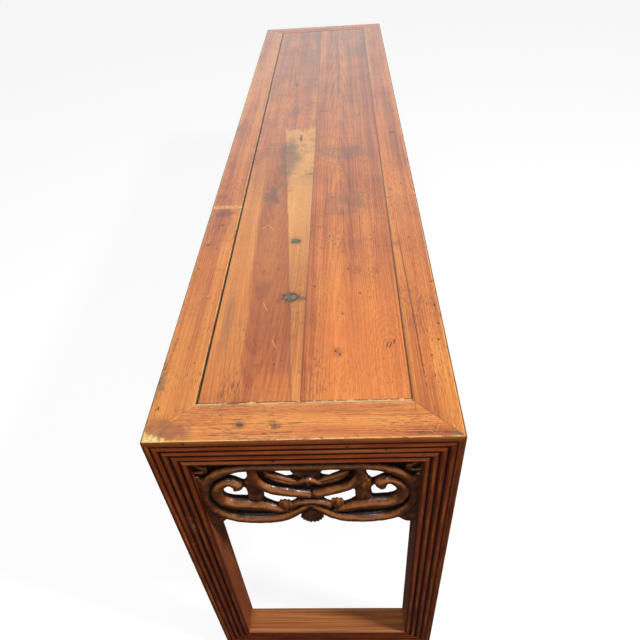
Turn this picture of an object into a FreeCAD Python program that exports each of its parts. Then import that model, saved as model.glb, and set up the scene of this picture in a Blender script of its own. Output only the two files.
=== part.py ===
import FreeCAD, Part
import math
import os

import Sketcher

# Chinese altar table: a long narrow table on four legs. Five reeds run round the edge of the top and
# down both outer faces of each leg, and the top frame and the legs meet in three-way mitres.
# Millimetres, +Z up, +X along the table, origin on the floor under the middle.

SIZES = {
    # whole table
    "table_length": 2150,
    "table_width": 480,
    "table_height": 820,
    # reeded moulding
    "reed_pitch": 12.2,
    "reed_count": 5,
    "reed_depth": 3,
    # fits
    "cheek_gap": 0.2,
    "tip_gap": 1,
    "overrun": 5,
    # top frame
    "member_width": 73,
    "leg_tenon_setback": 16,
    "leg_tenon_thickness": 12,
    "leg_tenon_start": 34,
    "leg_tenon_width": 20,
    "leg_tenon_cover": 12,
    "corner_tenon_start": 57,
    "corner_tenon_width": 12,
    "corner_tenon_drop": 24,
    "corner_tenon_thickness": 14,
    "corner_tenon_cover": 15,
    # panel
    "board_thickness": 16,
    "panel_tongue_thickness": 8,
    "panel_tongue_length": 7,
    "panel_joint_gap": 0.3,
    "shrink_gap": 2.2,
    "seam_offset": 4,
    "seam_tongue_length": 5,
    "seam_tongue_thickness": 4,
    "seam_tongue_drop": 9,
    # battens
    "batten_count": 5,
    "batten_width": 35,
    "batten_height": 30,
    "key_neck": 24,
    "key_flare": 3,
    "key_height": 5,
    "batten_tenon_width": 16,
    "batten_tenon_thickness": 18,
    "batten_tenon_drop": 22,
    "batten_tenon_length": 22,
    # floor rails
    "rail_depth": 55,
    "rail_lap": 20,
    "rail_tenon_setback": 26,
    "rail_tenon_thickness": 16,
    "rail_tenon_rise": 18,
    "rail_tenon_height": 34,
    "rail_tenon_length": 46,
    # feet
    "foot_height": 29,
    "foot_inset": 3,
    "foot_bevel": 4,
    "foot_tenon_side": 15,
    "foot_tenon_height": 10,
    # carved aprons
    "apron_drop": 204,
    "apron_setback": 6,
    "apron_thickness": 20,
    "web_thickness": 11,
    "apron_tongue_thickness": 8,
    "apron_tongue_length": 7,
    "long_motif_count": 6,
    "bar_radius": 8.5,
    "lobe_radius": 9.5,
    "scroll_radius": 8.5,
    "tendril_radius": 9.5,
    "link_radius": 6.5,
    "arch_radius": 6,
    "bud_radius": 9,
    "stile_width": 14,
    # pegs
    "peg_radius": 2.5,
    "peg_gap": 0.1,
    "frame_peg_setback": 35,
    "frame_peg_cover": 10,
    "rail_peg_inset": 38,
}

# The carved motif, right half, as shares of its half width (across) and of the apron's drop (down).
BAR_SHARES = [(0, 0.10), (0.34, 0.10), (0.56, 0.105), (0.70, 0.14), (0.80, 0.19), (0.87, 0.255), (0.93, 0.34)]
LOBE_SHARES = [(0.03, 0.68), (0.08, 0.72), (0.14, 0.765), (0.21, 0.815), (0.31, 0.853), (0.42, 0.87),
               (0.53, 0.873), (0.64, 0.863), (0.75, 0.836), (0.845, 0.784), (0.91, 0.71)]
SCROLL_SHARES = [(0.66, 0.42), (0.63, 0.355), (0.71, 0.311), (0.79, 0.338), (0.838, 0.42),
                 (0.84, 0.50), (0.80, 0.58), (0.73, 0.615), (0.64, 0.625), (0.545, 0.632),
                 (0.455, 0.648), (0.38, 0.675), (0.315, 0.70), (0.23, 0.735)]
TENDRIL_SHARES = [(0.48, 0.25), (0.425, 0.34), (0.346, 0.397), (0.25, 0.431), (0.156, 0.458), (0.04, 0.49)]
LINK_SHARES = [(0.475, 0.12), (0.48, 0.22), (0.515, 0.31), (0.515, 0.40), (0.495, 0.49), (0.475, 0.56), (0.50, 0.63)]
ARCH_SHARES = [(0.15, 0.665), (0.09, 0.60), (0, 0.586)]
LEAF_SHARES = [(0.37, 0.20), (0.31, 0.235), (0.235, 0.275), (0.15, 0.32), (0.03, 0.36)]
BUD_SHARES = [(0.21, 0.70), (0.235, 0.62)]
BRACKET_SHARES = [(0.95, 0.68), (0.93, 0.78), (0.945, 0.86)]

# The lower edge of the web, from the middle of its hanging shell out to the leg.
SHELL_EDGE_SHARES = [(0, 1.0), (0.06, 0.982), (0.11, 0.925), (0.12, 0.82)]
LOBE_EDGE_SHARES = [(0.12, 0.82), (0.21, 0.868), (0.31, 0.902), (0.42, 0.921), (0.53, 0.924), (0.64, 0.914),
                    (0.75, 0.885), (0.83, 0.85)]
BRACKET_EDGE_SHARES = [(0.83, 0.85), (0.87, 0.905), (0.93, 0.93), (1.0, 0.925)]

# The gaps that daylight shows through, each a closed outline in the same shares.
GAP_SHARES = [
    [(0.735, 0.23), (0.64, 0.18), (0.54, 0.155), (0.536, 0.26), (0.575, 0.325), (0.63, 0.298), (0.685, 0.27)],
    [(0.782, 0.40), (0.74, 0.368), (0.70, 0.40), (0.665, 0.446), (0.60, 0.425), (0.565, 0.48),
     (0.58, 0.545), (0.67, 0.57), (0.75, 0.55), (0.788, 0.48)],
    [(0.43, 0.51), (0.40, 0.465), (0.345, 0.455), (0.25, 0.487), (0.15, 0.512), (0.12, 0.55), (0.16, 0.588),
     (0.25, 0.58), (0.29, 0.64), (0.37, 0.63), (0.415, 0.57)],
    [(0.296, 0.16), (0.22, 0.148), (0.145, 0.16), (0.14, 0.235), (0.18, 0.25), (0.25, 0.23)],
]

document = FreeCAD.newDocument("altar_table")
sheet = document.addObject("Spreadsheet::Sheet", "sizes")
for row, (alias, number) in enumerate(SIZES.items(), start=1):
    sheet.set(f"A{row}", alias)
    sheet.set(f"B{row}", str(number))
    sheet.setAlias(f"B{row}", alias)
document.recompute()


class Size:
    """A length that knows both its number and the formula that ties it to the sheet."""

    def __init__(self, number, text):
        self.number = number
        self.text = text

    def __add__(self, other):
        other = as_size(other)
        return Size(self.number + other.number, f"({self.text} + {other.text})")

    def __sub__(self, other):
        other = as_size(other)
        return Size(self.number - other.number, f"({self.text} - {other.text})")

    def __mul__(self, other):
        other = as_size(other)
        return Size(self.number * other.number, f"({self.text} * {other.text})")

    def __truediv__(self, other):
        other = as_size(other)
        return Size(self.number / other.number, f"({self.text} / {other.text})")

    def __neg__(self):
        return Size(-self.number, f"(0 - {self.text})")

    def root(self):
        return Size(math.sqrt(self.number), f"sqrt({self.text})")


def as_size(value):
    return value if isinstance(value, Size) else Size(float(value), str(value))


def named(alias):
    return Size(float(sheet.get(alias)), "sizes." + alias)


def bind(item, name, size):
    """Ties one property of an object to the sheet."""
    item.setExpression(name, as_size(size).text)


# Derived lines that many pieces share. Depths are measured from the end face, the long face or the top.
OVER = named("overrun")
GAP = named("cheek_gap")
TIP = named("tip_gap")
PITCH = named("reed_pitch")
REED_DEPTH = named("reed_depth")
HALF_LENGTH = named("table_length") / 2
HALF_WIDTH = named("table_width") / 2
TOP = named("table_height")
MEMBER_WIDTH = named("member_width")
LEG_SIDE = PITCH * named("reed_count")
FOOT_HEIGHT = named("foot_height")
REED_RADIUS = (PITCH * PITCH / 4 + REED_DEPTH * REED_DEPTH) / (REED_DEPTH * 2)
CORNER_RADIUS = PITCH + REED_DEPTH - (PITCH * REED_DEPTH * 2).root()
INNER_LENGTH = HALF_LENGTH - MEMBER_WIDTH
INNER_WIDTH = HALF_WIDTH - MEMBER_WIDTH
BOARD = named("board_thickness")
PANEL_TONGUE = named("panel_tongue_length")
TONGUE_TOP = BOARD - named("panel_tongue_thickness")
APRON_BACK = named("apron_setback") + named("apron_thickness")
APRON_TONGUE = named("apron_tongue_length")
APRON_CHEEK = (named("apron_thickness") - named("apron_tongue_thickness")) / 2
APRON_TONGUE_START = named("apron_setback") + APRON_CHEEK
APRON_TONGUE_END = APRON_TONGUE_START + named("apron_tongue_thickness")
STILE_DROP = named("apron_drop") * BRACKET_EDGE_SHARES[-1][1]

ORIGIN = Size(0, "0")
NEAR, FAR = 1, -1
RIGHT, LEFT = 1, -1

# The turn in degrees that stands a peg up along Z or lays it along X.
UPRIGHT, LEVEL = 0, 90
# How far into the corner tenon's width its peg goes through.
FRAME_PEG_SHARE = 2 / 3

subparts = []


def end_x(depth, end=NEAR):
    """The place along the table that lies this deep behind an end face."""
    return (HALF_LENGTH - depth) * end


def side_y(depth, side=RIGHT):
    """The place across the table that lies this deep behind a long face."""
    return (HALF_WIDTH - depth) * side


def down_z(depth):
    return TOP - depth


def new_body(name):
    body = document.addObject("PartDesign::Body", name + "_body")
    body.Label = name + "_body"
    return body


def origin_plane(body, role):
    return next(item for item in body.Origin.OriginFeatures if item.Role == role + "_Plane")


def sketch_outline(body, name, role, corners, offset):
    """A closed outline on one of the body's own planes. Each corner is (across, up, radius of the
    arc that leads on from it, or None), and every corner is tied to the sheet."""
    sketch = body.newObject("Sketcher::SketchObject", name)
    sketch.AttachmentSupport = (origin_plane(body, role), [""])
    sketch.MapMode = "FlatFace"
    bind(sketch, "AttachmentOffset.Base.z", offset)
    points = [FreeCAD.Vector(across.number, up.number, 0) for across, up, _ in corners]
    following = points[1:] + points[:1]
    area = sum(here.x * there.y - there.x * here.y for here, there in zip(points, following))
    outward = 1 if area > 0 else -1
    for (_, _, radius), here, there in zip(corners, points, following):
        if radius is None:
            sketch.addGeometry(Part.LineSegment(here, there))
        else:
            sketch.addGeometry(arc_between(here, there, radius.number, outward))
    starts, ends = [], []
    for index, here in enumerate(points):
        first = sketch.getPoint(index, 1)
        flipped = first.distanceToPoint(here) > first.distanceToPoint(following[index])
        starts.append(2 if flipped else 1)
        ends.append(1 if flipped else 2)
    for index, (across, up, radius) in enumerate(corners):
        after = (index + 1) % len(corners)
        sketch.addConstraint(Sketcher.Constraint("Coincident", index, ends[index], after, starts[after]))
        for kind, size in (("DistanceX", across), ("DistanceY", up)):
            tie = Sketcher.Constraint(kind, -1, 1, index, starts[index], size.number)
            bind(sketch, f"Constraints[{sketch.addConstraint(tie)}]", size)
        if radius is not None:
            tie = Sketcher.Constraint("Radius", index, radius.number)
            bind(sketch, f"Constraints[{sketch.addConstraint(tie)}]", radius)
    return sketch


def arc_between(start, end, radius, outward):
    """An arc of this radius from start to end that bulges to the outside of the outline."""
    chord = end - start
    side = FreeCAD.Vector(chord.y, -chord.x, 0).normalize() * outward
    rise = radius - math.sqrt(max(radius ** 2 - (chord.Length / 2) ** 2, 0))
    return Part.Arc(start, (start + end) / 2 + side * rise, end)


def prism(body, kind, name, role, corners, low, high):
    """Adds (Pad) or cuts (Pocket) an outline between two places along the axis square to its plane.
    The XZ plane faces -Y, so there the outline starts at the higher place."""
    offset = -high if role == "XZ" else low
    sketch = sketch_outline(body, name + "_outline", role, corners, offset)
    feature = body.newObject("PartDesign::" + kind, name)
    feature.Profile = sketch
    feature.Reversed = kind == "Pocket"
    bind(feature, "Length", high - low)
    return feature


def box(body, kind, name, corner, opposite):
    """Adds (Additive) or cuts (Subtractive) a box between two opposite corners, in any order."""
    feature = body.newObject(f"PartDesign::{kind}Box", name)
    for axis, extent, one, other in zip("xyz", ("Length", "Width", "Height"), corner, opposite):
        one, other = as_size(one), as_size(other)
        low, high = (one, other) if one.number < other.number else (other, one)
        bind(feature, "Placement.Base." + axis, low)
        bind(feature, extent, high - low)
    return feature


def peg_hole(body, name, centre, length, turn):
    feature = body.newObject("PartDesign::SubtractiveCylinder", name)
    bind(feature, "Radius", named("peg_radius") + named("peg_gap"))
    place_round(feature, centre, length, turn)


def place_round(feature, centre, length, turn):
    """Sets a peg or its hole from its starting place, along Z or turned to lie along X."""
    bind(feature, "Height", length)
    feature.Placement.Rotation = FreeCAD.Rotation(FreeCAD.Vector(0, 1, 0), turn)
    for axis, size in zip("xyz", centre):
        bind(feature, "Placement.Base." + axis, size)


def keep(item, name):
    """Names a finished sub-part, which also names its file."""
    item.Label = name
    subparts.append(item)
    return item


def mirrored(source, name, normal):
    item = document.addObject("Part::Mirroring", name + "_mirror")
    item.Source = source
    item.Normal = FreeCAD.Vector(*normal)
    return keep(item, name)


def reeds(place):
    """Corners along a reeded face from its rounded outer edge inwards. place turns a distance along
    the face and a depth behind it into a sketch point."""
    corners = [place(ORIGIN, ORIGIN) + (None,), place(CORNER_RADIUS, ORIGIN) + (CORNER_RADIUS,)]
    count = int(named("reed_count").number)
    for groove in range(1, count):
        corners.append(place(PITCH * groove, REED_DEPTH) + (REED_RADIUS,))
    corners.append(place(PITCH * count, REED_DEPTH) + (None,))
    return corners


def backwards(corners):
    """The same run of corners walked the other way, with each arc still between its two corners."""
    radii = [radius for _, _, radius in corners[:-1]]
    turned = [(across, up) for across, up, _ in reversed(corners)]
    return [point + (radius,) for point, radius in zip(turned, radii[::-1] + [None])]


def plain(*points):
    return [(as_size(across), as_size(up), None) for across, up in points]


def mitre_corners(place, reach, keep_first):
    """The triangle that a 45 degree mitre takes away. place turns the two depths into a sketch point."""
    side = (reach, -OVER) if keep_first else (-OVER, reach)
    return plain(place(-OVER, -OVER), place(*side), place(reach, reach))


# The outer shape that rounds every outer corner of the frame where mitred pieces meet.
rounding_body = new_body("outer_rounding")
outer_block = box(rounding_body, "Additive", "outer_block", (-HALF_LENGTH, -HALF_WIDTH, ORIGIN),
                  (HALF_LENGTH, HALF_WIDTH, TOP))
document.recompute()
outer_edges = []
for index, edge in enumerate(rounding_body.Shape.Edges, start=1):
    heights = [vertex.Z for vertex in edge.Vertexes]
    if max(heights) > TOP.number / 2:
        outer_edges.append(f"Edge{index}")
rounding = rounding_body.newObject("PartDesign::Fillet", "rounded_arrises")
rounding.Base = (outer_block, outer_edges)
bind(rounding, "Radius", CORNER_RADIUS)


def rounded(body, name):
    """The part of a body that lies inside the rounded outer shape."""
    item = document.addObject("Part::Common", name + "_rounded")
    item.Base = body
    item.Tool = rounding_body
    return keep(item, name)


def frame_reach():
    return MEMBER_WIDTH + OVER


# Long members of the top frame, with a tenon at each end and mortises for legs and battens.
def batten_x(index):
    count = named("batten_count")
    return -INNER_LENGTH + INNER_LENGTH * 2 * index / (count + 1)


def make_long_member():
    body = new_body("top_long_member_right")
    face = reeds(lambda along, inward: (side_y(inward), down_z(along)))
    back = plain((side_y(MEMBER_WIDTH), down_z(LEG_SIDE)), (side_y(MEMBER_WIDTH), TOP))
    prism(body, "Pad", "long_stock", "YZ", face + back, -HALF_LENGTH, HALF_LENGTH)
    groove_floor = side_y(MEMBER_WIDTH - PANEL_TONGUE - TIP)
    box(body, "Subtractive", "panel_groove", (-HALF_LENGTH - OVER, groove_floor, down_z(TONGUE_TOP - GAP)),
        (HALF_LENGTH + OVER, side_y(MEMBER_WIDTH + OVER), down_z(BOARD + GAP)))
    box(body, "Subtractive", "apron_groove",
        (-HALF_LENGTH - OVER, side_y(APRON_TONGUE_START - GAP), down_z(LEG_SIDE - APRON_TONGUE - TIP)),
        (HALF_LENGTH + OVER, side_y(APRON_TONGUE_END + GAP), down_z(LEG_SIDE + OVER)))
    for end, word in ((NEAR, "near"), (FAR, "far")):
        def flat(a, b):
            return end_x(a, end), side_y(b)

        def upright(a, c):
            return end_x(a, end), down_z(c)

        prism(body, "Pocket", f"top_mitre_{word}", "XY", mitre_corners(flat, frame_reach(), False),
              down_z(LEG_SIDE + OVER), TOP + OVER)
        prism(body, "Pocket", f"leg_mitre_{word}", "XZ", mitre_corners(upright, LEG_SIDE + OVER, False),
              side_y(MEMBER_WIDTH + OVER), side_y(-OVER))
        tenon_start = named("corner_tenon_start")
        tenon_drop = named("corner_tenon_drop")
        box(body, "Additive", f"corner_tenon_{word}",
            (end_x(named("corner_tenon_cover"), end), side_y(tenon_start), down_z(tenon_drop)),
            (end_x(MEMBER_WIDTH, end), side_y(tenon_start + named("corner_tenon_width")),
             down_z(tenon_drop + named("corner_tenon_thickness"))))
        box(body, "Subtractive", f"leg_mortise_{word}", *[
            (end_x(along, end), side_y(inward), down_z(drop)) for inward, along, drop in leg_mortise_box()])
        peg_hole(body, f"frame_peg_hole_{word}", frame_peg_start(end, RIGHT), frame_peg_length(), UPRIGHT)
    mortise_floor = MEMBER_WIDTH - named("batten_tenon_length") - TIP
    for index in range(1, int(named("batten_count").number) + 1):
        half = named("batten_tenon_width") / 2 + GAP
        drop = named("batten_tenon_drop")
        box(body, "Subtractive", f"batten_mortise_{index}",
            (batten_x(index) - half, side_y(mortise_floor), down_z(drop - GAP)),
            (batten_x(index) + half, side_y(MEMBER_WIDTH + OVER),
             down_z(drop + named("batten_tenon_thickness") + GAP)))
    return rounded(body, "top_long_member_right")


def leg_tenon_box(gap, tip_gap, root):
    """Opposite corners of the tenon on a leg's top, as (setback from its face, along, down)."""
    setback = named("leg_tenon_setback")
    start = named("leg_tenon_start")
    return ((setback - gap, start - gap, named("leg_tenon_cover") - tip_gap),
            (setback + named("leg_tenon_thickness") + gap, start + named("leg_tenon_width") + gap,
             LEG_SIDE + root))


def leg_mortise_box():
    return leg_tenon_box(GAP, TIP, OVER)


def frame_peg_length():
    return LEG_SIDE - named("frame_peg_cover")


def frame_peg_start(end, side):
    inset = named("corner_tenon_start") + named("corner_tenon_width") * FRAME_PEG_SHARE
    return end_x(named("frame_peg_setback"), end), side_y(inset, side), down_z(LEG_SIDE)


# End members of the top frame, mortised for the long members' tenons and the legs' tenons.
def make_end_member():
    body = new_body("top_end_member_near")
    face = reeds(lambda along, inward: (end_x(inward), down_z(along)))
    back = plain((end_x(MEMBER_WIDTH), down_z(LEG_SIDE)), (end_x(MEMBER_WIDTH), TOP))
    prism(body, "Pad", "end_stock", "XZ", face + back, -HALF_WIDTH, HALF_WIDTH)
    box(body, "Subtractive", "panel_groove",
        (end_x(MEMBER_WIDTH - PANEL_TONGUE - TIP), -HALF_WIDTH - OVER, down_z(TONGUE_TOP - GAP)),
        (end_x(MEMBER_WIDTH + OVER), HALF_WIDTH + OVER, down_z(BOARD + GAP)))
    box(body, "Subtractive", "apron_groove",
        (end_x(APRON_TONGUE_START - GAP), -HALF_WIDTH - OVER, down_z(LEG_SIDE - APRON_TONGUE - TIP)),
        (end_x(APRON_TONGUE_END + GAP), HALF_WIDTH + OVER, down_z(LEG_SIDE + OVER)))
    for side, word in ((RIGHT, "right"), (LEFT, "left")):
        def flat(a, b):
            return end_x(a), side_y(b, side)

        def upright(b, c):
            return side_y(b, side), down_z(c)

        prism(body, "Pocket", f"top_mitre_{word}", "XY", mitre_corners(flat, frame_reach(), True),
              down_z(LEG_SIDE + OVER), TOP + OVER)
        prism(body, "Pocket", f"leg_mitre_{word}", "YZ", mitre_corners(upright, LEG_SIDE + OVER, False),
              end_x(MEMBER_WIDTH + OVER), end_x(-OVER))
        start = named("corner_tenon_start")
        drop = named("corner_tenon_drop")
        box(body, "Subtractive", f"corner_mortise_{word}",
            (end_x(named("corner_tenon_cover") - TIP), side_y(start - GAP, side), down_z(drop - GAP)),
            (end_x(MEMBER_WIDTH + OVER), side_y(start + named("corner_tenon_width") + GAP, side),
             down_z(drop + named("corner_tenon_thickness") + GAP)))
        box(body, "Subtractive", f"leg_mortise_{word}", *[
            (end_x(inward), side_y(along, side), down_z(drop)) for inward, along, drop in leg_mortise_box()])
        start = frame_peg_start(NEAR, side)
        peg_hole(body, f"frame_peg_hole_{word}", start, frame_peg_length(), UPRIGHT)
    return rounded(body, "top_end_member_near")


# Legs: reeded on both outer faces, with a mitred crown and one tenon into each top member.
def make_leg():
    body = new_body("leg_near_right")
    end_face = reeds(lambda along, inward: (end_x(inward), side_y(along)))
    long_face = reeds(lambda along, inward: (end_x(along), side_y(inward)))
    corners = backwards(end_face) + long_face[1:] + plain((end_x(LEG_SIDE), side_y(LEG_SIDE)))
    prism(body, "Pad", "leg_stock", "XY", corners, FOOT_HEIGHT, TOP)

    def across_end(b, c):
        return side_y(b), down_z(c)

    def along_side(a, c):
        return end_x(a), down_z(c)

    reach = LEG_SIDE + OVER
    prism(body, "Pocket", "crown_end_mitre", "YZ", mitre_corners(across_end, reach, True),
          end_x(reach), end_x(-OVER))
    prism(body, "Pocket", "crown_side_mitre", "XZ", mitre_corners(along_side, reach, True),
          side_y(reach), side_y(-OVER))
    tenon = leg_tenon_box(ORIGIN, ORIGIN, ORIGIN)
    box(body, "Additive", "end_member_tenon", *[
        (end_x(inward), side_y(along), down_z(drop)) for inward, along, drop in tenon])
    box(body, "Additive", "long_member_tenon", *[
        (end_x(along), side_y(inward), down_z(drop)) for inward, along, drop in tenon])

    groove_top = down_z(LEG_SIDE - APRON_TONGUE - TIP)
    groove_foot = down_z(LEG_SIDE + STILE_DROP + TIP)
    groove_floor = LEG_SIDE - APRON_TONGUE - TIP
    box(body, "Subtractive", "end_apron_groove",
        (end_x(APRON_TONGUE_START - GAP), side_y(groove_floor), groove_foot),
        (end_x(APRON_TONGUE_END + GAP), side_y(LEG_SIDE + OVER), groove_top))
    box(body, "Subtractive", "long_apron_groove",
        (end_x(groove_floor), side_y(APRON_TONGUE_START - GAP), groove_foot),
        (end_x(LEG_SIDE + OVER), side_y(APRON_TONGUE_END + GAP), groove_top))

    def across_foot(b, e):
        return side_y(b), FOOT_HEIGHT + e

    prism(body, "Pocket", "rail_lap", "YZ", mitre_corners(across_foot, reach, True),
          end_x(named("rail_lap")), end_x(-OVER))
    tenon_rise = FOOT_HEIGHT + named("rail_tenon_rise")
    setback = named("rail_tenon_setback")
    box(body, "Subtractive", "rail_mortise",
        (end_x(setback - GAP), side_y(LEG_SIDE + OVER), tenon_rise - GAP),
        (end_x(setback + named("rail_tenon_thickness") + GAP),
         side_y(LEG_SIDE - named("rail_tenon_length") - TIP),
         tenon_rise + named("rail_tenon_height") + GAP))
    low = LEG_SIDE / 2 - named("foot_tenon_side") / 2 - GAP
    high = LEG_SIDE / 2 + named("foot_tenon_side") / 2 + GAP
    box(body, "Subtractive", "foot_mortise", (end_x(low), side_y(low), FOOT_HEIGHT - OVER),
        (end_x(high), side_y(high), FOOT_HEIGHT + named("foot_tenon_height") + TIP))
    peg_hole(body, "rail_peg_hole", rail_peg_start(NEAR, RIGHT), rail_peg_length(), LEVEL)
    return rounded(body, "leg_near_right")


def rail_peg_length():
    return LEG_SIDE - named("rail_tenon_setback") + TIP


def rail_peg_start(end, side):
    """The end of a rail peg that has the lower X."""
    setback = LEG_SIDE if end == NEAR else LEG_SIDE - rail_peg_length()
    height = FOOT_HEIGHT + named("rail_tenon_rise") + named("rail_tenon_height") / 2
    return end_x(setback, end), side_y(named("rail_peg_inset"), side), height


# Floor rails: one at each end, lapped and mitred over the legs' faces and tenoned behind.
def make_floor_rail():
    body = new_body("floor_rail_near")
    face = reeds(lambda along, inward: (end_x(inward), FOOT_HEIGHT + along))
    face[0] = (end_x(CORNER_RADIUS), FOOT_HEIGHT, CORNER_RADIUS)
    rail_back = end_x(named("rail_depth"))
    back = plain((rail_back, FOOT_HEIGHT + LEG_SIDE), (rail_back, FOOT_HEIGHT))
    prism(body, "Pad", "rail_stock", "XZ", face + back, -HALF_WIDTH, HALF_WIDTH)
    rise = FOOT_HEIGHT + named("rail_tenon_rise")
    setback = named("rail_tenon_setback")
    for side, word in ((RIGHT, "right"), (LEFT, "left")):
        def across(b, e):
            return side_y(b, side), FOOT_HEIGHT + e

        box(body, "Subtractive", f"shoulder_{word}",
            (end_x(named("rail_lap")), side_y(LEG_SIDE, side), FOOT_HEIGHT - OVER),
            (end_x(named("rail_depth") + OVER), side_y(-OVER, side), FOOT_HEIGHT + LEG_SIDE + OVER))
        prism(body, "Pocket", f"lap_mitre_{word}", "YZ", mitre_corners(across, LEG_SIDE, False),
              end_x(named("rail_lap") + OVER), end_x(-OVER))
        box(body, "Additive", f"rail_tenon_{word}",
            (end_x(setback), side_y(LEG_SIDE + OVER, side), rise),
            (end_x(setback + named("rail_tenon_thickness")),
             side_y(LEG_SIDE - named("rail_tenon_length"), side), rise + named("rail_tenon_height")))
        peg_hole(body, f"rail_peg_hole_{word}", rail_peg_start(NEAR, side), rail_peg_length(), LEVEL)
    return rounded(body, "floor_rail_near")


# Pad feet under the legs.
def make_foot():
    body = new_body("foot_near_right")
    inset = named("foot_inset")
    pad = box(body, "Additive", "pad", (end_x(inset), side_y(inset), ORIGIN),
              (end_x(LEG_SIDE - inset), side_y(LEG_SIDE - inset), FOOT_HEIGHT))
    document.recompute()
    lower_edges = []
    for index, edge in enumerate(body.Shape.Edges, start=1):
        if max(vertex.Z for vertex in edge.Vertexes) < FOOT_HEIGHT.number / 2:
            lower_edges.append(f"Edge{index}")
    bevel = body.newObject("PartDesign::Chamfer", "lower_bevel")
    bevel.Base = (pad, lower_edges)
    bind(bevel, "Size", named("foot_bevel"))
    half = named("foot_tenon_side") / 2
    box(body, "Additive", "foot_tenon",
        (end_x(LEG_SIDE / 2 - half), side_y(LEG_SIDE / 2 - half), FOOT_HEIGHT / 2),
        (end_x(LEG_SIDE / 2 + half), side_y(LEG_SIDE / 2 + half), FOOT_HEIGHT + named("foot_tenon_height")))
    return keep(body, "foot_near_right")


# The floating panel: two long boards, tongued into the frame and keyed to five battens below.
def make_board(side, word):
    body = new_body(f"top_board_{word}")
    seam = -named("seam_offset") + named("panel_joint_gap") / 2 * side
    edge_gap = named("panel_joint_gap") if side == RIGHT else named("shrink_gap")
    edge = (INNER_WIDTH - edge_gap) * side
    tip = (INNER_WIDTH + PANEL_TONGUE) * side
    corners = plain((seam, TOP), (edge, TOP), (edge, down_z(TONGUE_TOP)), (tip, down_z(TONGUE_TOP)),
                    (tip, down_z(BOARD)), (seam, down_z(BOARD)))
    reach = INNER_LENGTH + PANEL_TONGUE
    prism(body, "Pad", "board_stock", "YZ", corners, -reach, reach)
    cheek = INNER_LENGTH - named("panel_joint_gap")
    for end in (NEAR, FAR):
        box(body, "Subtractive", "end_rabbet", (cheek * end, -HALF_WIDTH, down_z(TONGUE_TOP)),
            ((reach + OVER) * end, HALF_WIDTH, TOP + OVER))
    drop = named("seam_tongue_drop")
    thickness = named("seam_tongue_thickness")
    length = named("seam_tongue_length")
    if side == RIGHT:
        box(body, "Additive", "seam_tongue", (-reach, seam - length, down_z(drop)),
            (reach, seam + TIP, down_z(drop + thickness)))
    else:
        box(body, "Subtractive", "seam_groove", (-reach - OVER, seam - length - TIP, down_z(drop - GAP)),
            (reach + OVER, seam + OVER, down_z(drop + thickness + GAP)))
    low, high = (seam - length - OVER, tip + OVER) if side == RIGHT else (tip - OVER, seam + OVER)
    for index in range(1, int(named("batten_count").number) + 1):
        prism(body, "Pocket", f"key_slot_{index}", "XZ", key_corners(batten_x(index), GAP, OVER), low, high)
    return keep(body, f"top_board_{word}")


def key_corners(middle, gap, root):
    """The dovetail key on a batten's top, wider at its tip, with its root this far below the board."""
    neck = named("key_neck") / 2 + gap
    tip = neck + named("key_flare")
    return plain((middle - neck, down_z(BOARD + root)), (middle - neck, down_z(BOARD)),
                 (middle - tip, down_z(BOARD - named("key_height") - gap)),
                 (middle + tip, down_z(BOARD - named("key_height") - gap)),
                 (middle + neck, down_z(BOARD)), (middle + neck, down_z(BOARD + root)))


def make_batten(index):
    body = new_body(f"top_batten_{index}")
    middle = batten_x(index)
    half = named("batten_width") / 2
    shoulder = INNER_WIDTH - GAP
    box(body, "Additive", "batten_stock", (middle - half, -shoulder, down_z(BOARD)),
        (middle + half, shoulder, down_z(BOARD + named("batten_height"))))
    key = key_corners(middle, ORIGIN, named("key_height"))
    prism(body, "Pad", "dovetail_key", "XZ", key, -shoulder, shoulder)
    reach = INNER_WIDTH + named("batten_tenon_length")
    half_tenon = named("batten_tenon_width") / 2
    drop = named("batten_tenon_drop")
    box(body, "Additive", "batten_tenons", (middle - half_tenon, -reach, down_z(drop)),
        (middle + half_tenon, reach, down_z(drop + named("batten_tenon_thickness"))))
    return keep(body, f"top_batten_{index}")


# Carved aprons. A strand is a raised ribbon along a smooth curve through its points.
STOPS_PER_POINT = 2


def scaled(shares, span, drop, side=RIGHT):
    return [FreeCAD.Vector(across * span * side, -down * drop, 0) for across, down in shares]


def closed_outline(points):
    curve = Part.BSplineCurve()
    curve.interpolate(Points=points, PeriodicFlag=True)
    return Part.Wire(curve.toShape())


def open_curve(points):
    curve = Part.BSplineCurve()
    curve.interpolate(points)
    return curve


def ribbon(points, radius):
    """A strand seen from the front: an even width along a smooth curve, with round ends."""
    spine = open_curve(points)
    stops = len(points) * STOPS_PER_POINT
    rows = []
    for stop in range(stops + 1):
        place = spine.FirstParameter + (spine.LastParameter - spine.FirstParameter) * stop / stops
        ahead = spine.tangent(place)[0]
        rows.append((spine.value(place), ahead, FreeCAD.Vector(-ahead.y, ahead.x, 0)))
    left = [here + square * radius for here, _, square in rows]
    right = [here - square * radius for here, _, square in rows]
    first, last = rows[0], rows[-1]
    edges = [open_curve(left).toShape(), open_curve(right).toShape(),
             Part.Arc(left[-1], last[0] + last[1] * radius, right[-1]).toShape(),
             Part.Arc(left[0], first[0] - first[1] * radius, right[0]).toShape()]
    return Part.Face(Part.Wire(Part.__sortEdges__(edges)))


def merged(faces):
    """Faces that lie in one plane, joined wherever they overlap or touch."""
    pieces = faces[0].multiFuse(faces[1:])
    return Part.makeShell(pieces.Faces).removeSplitter().Faces


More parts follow.
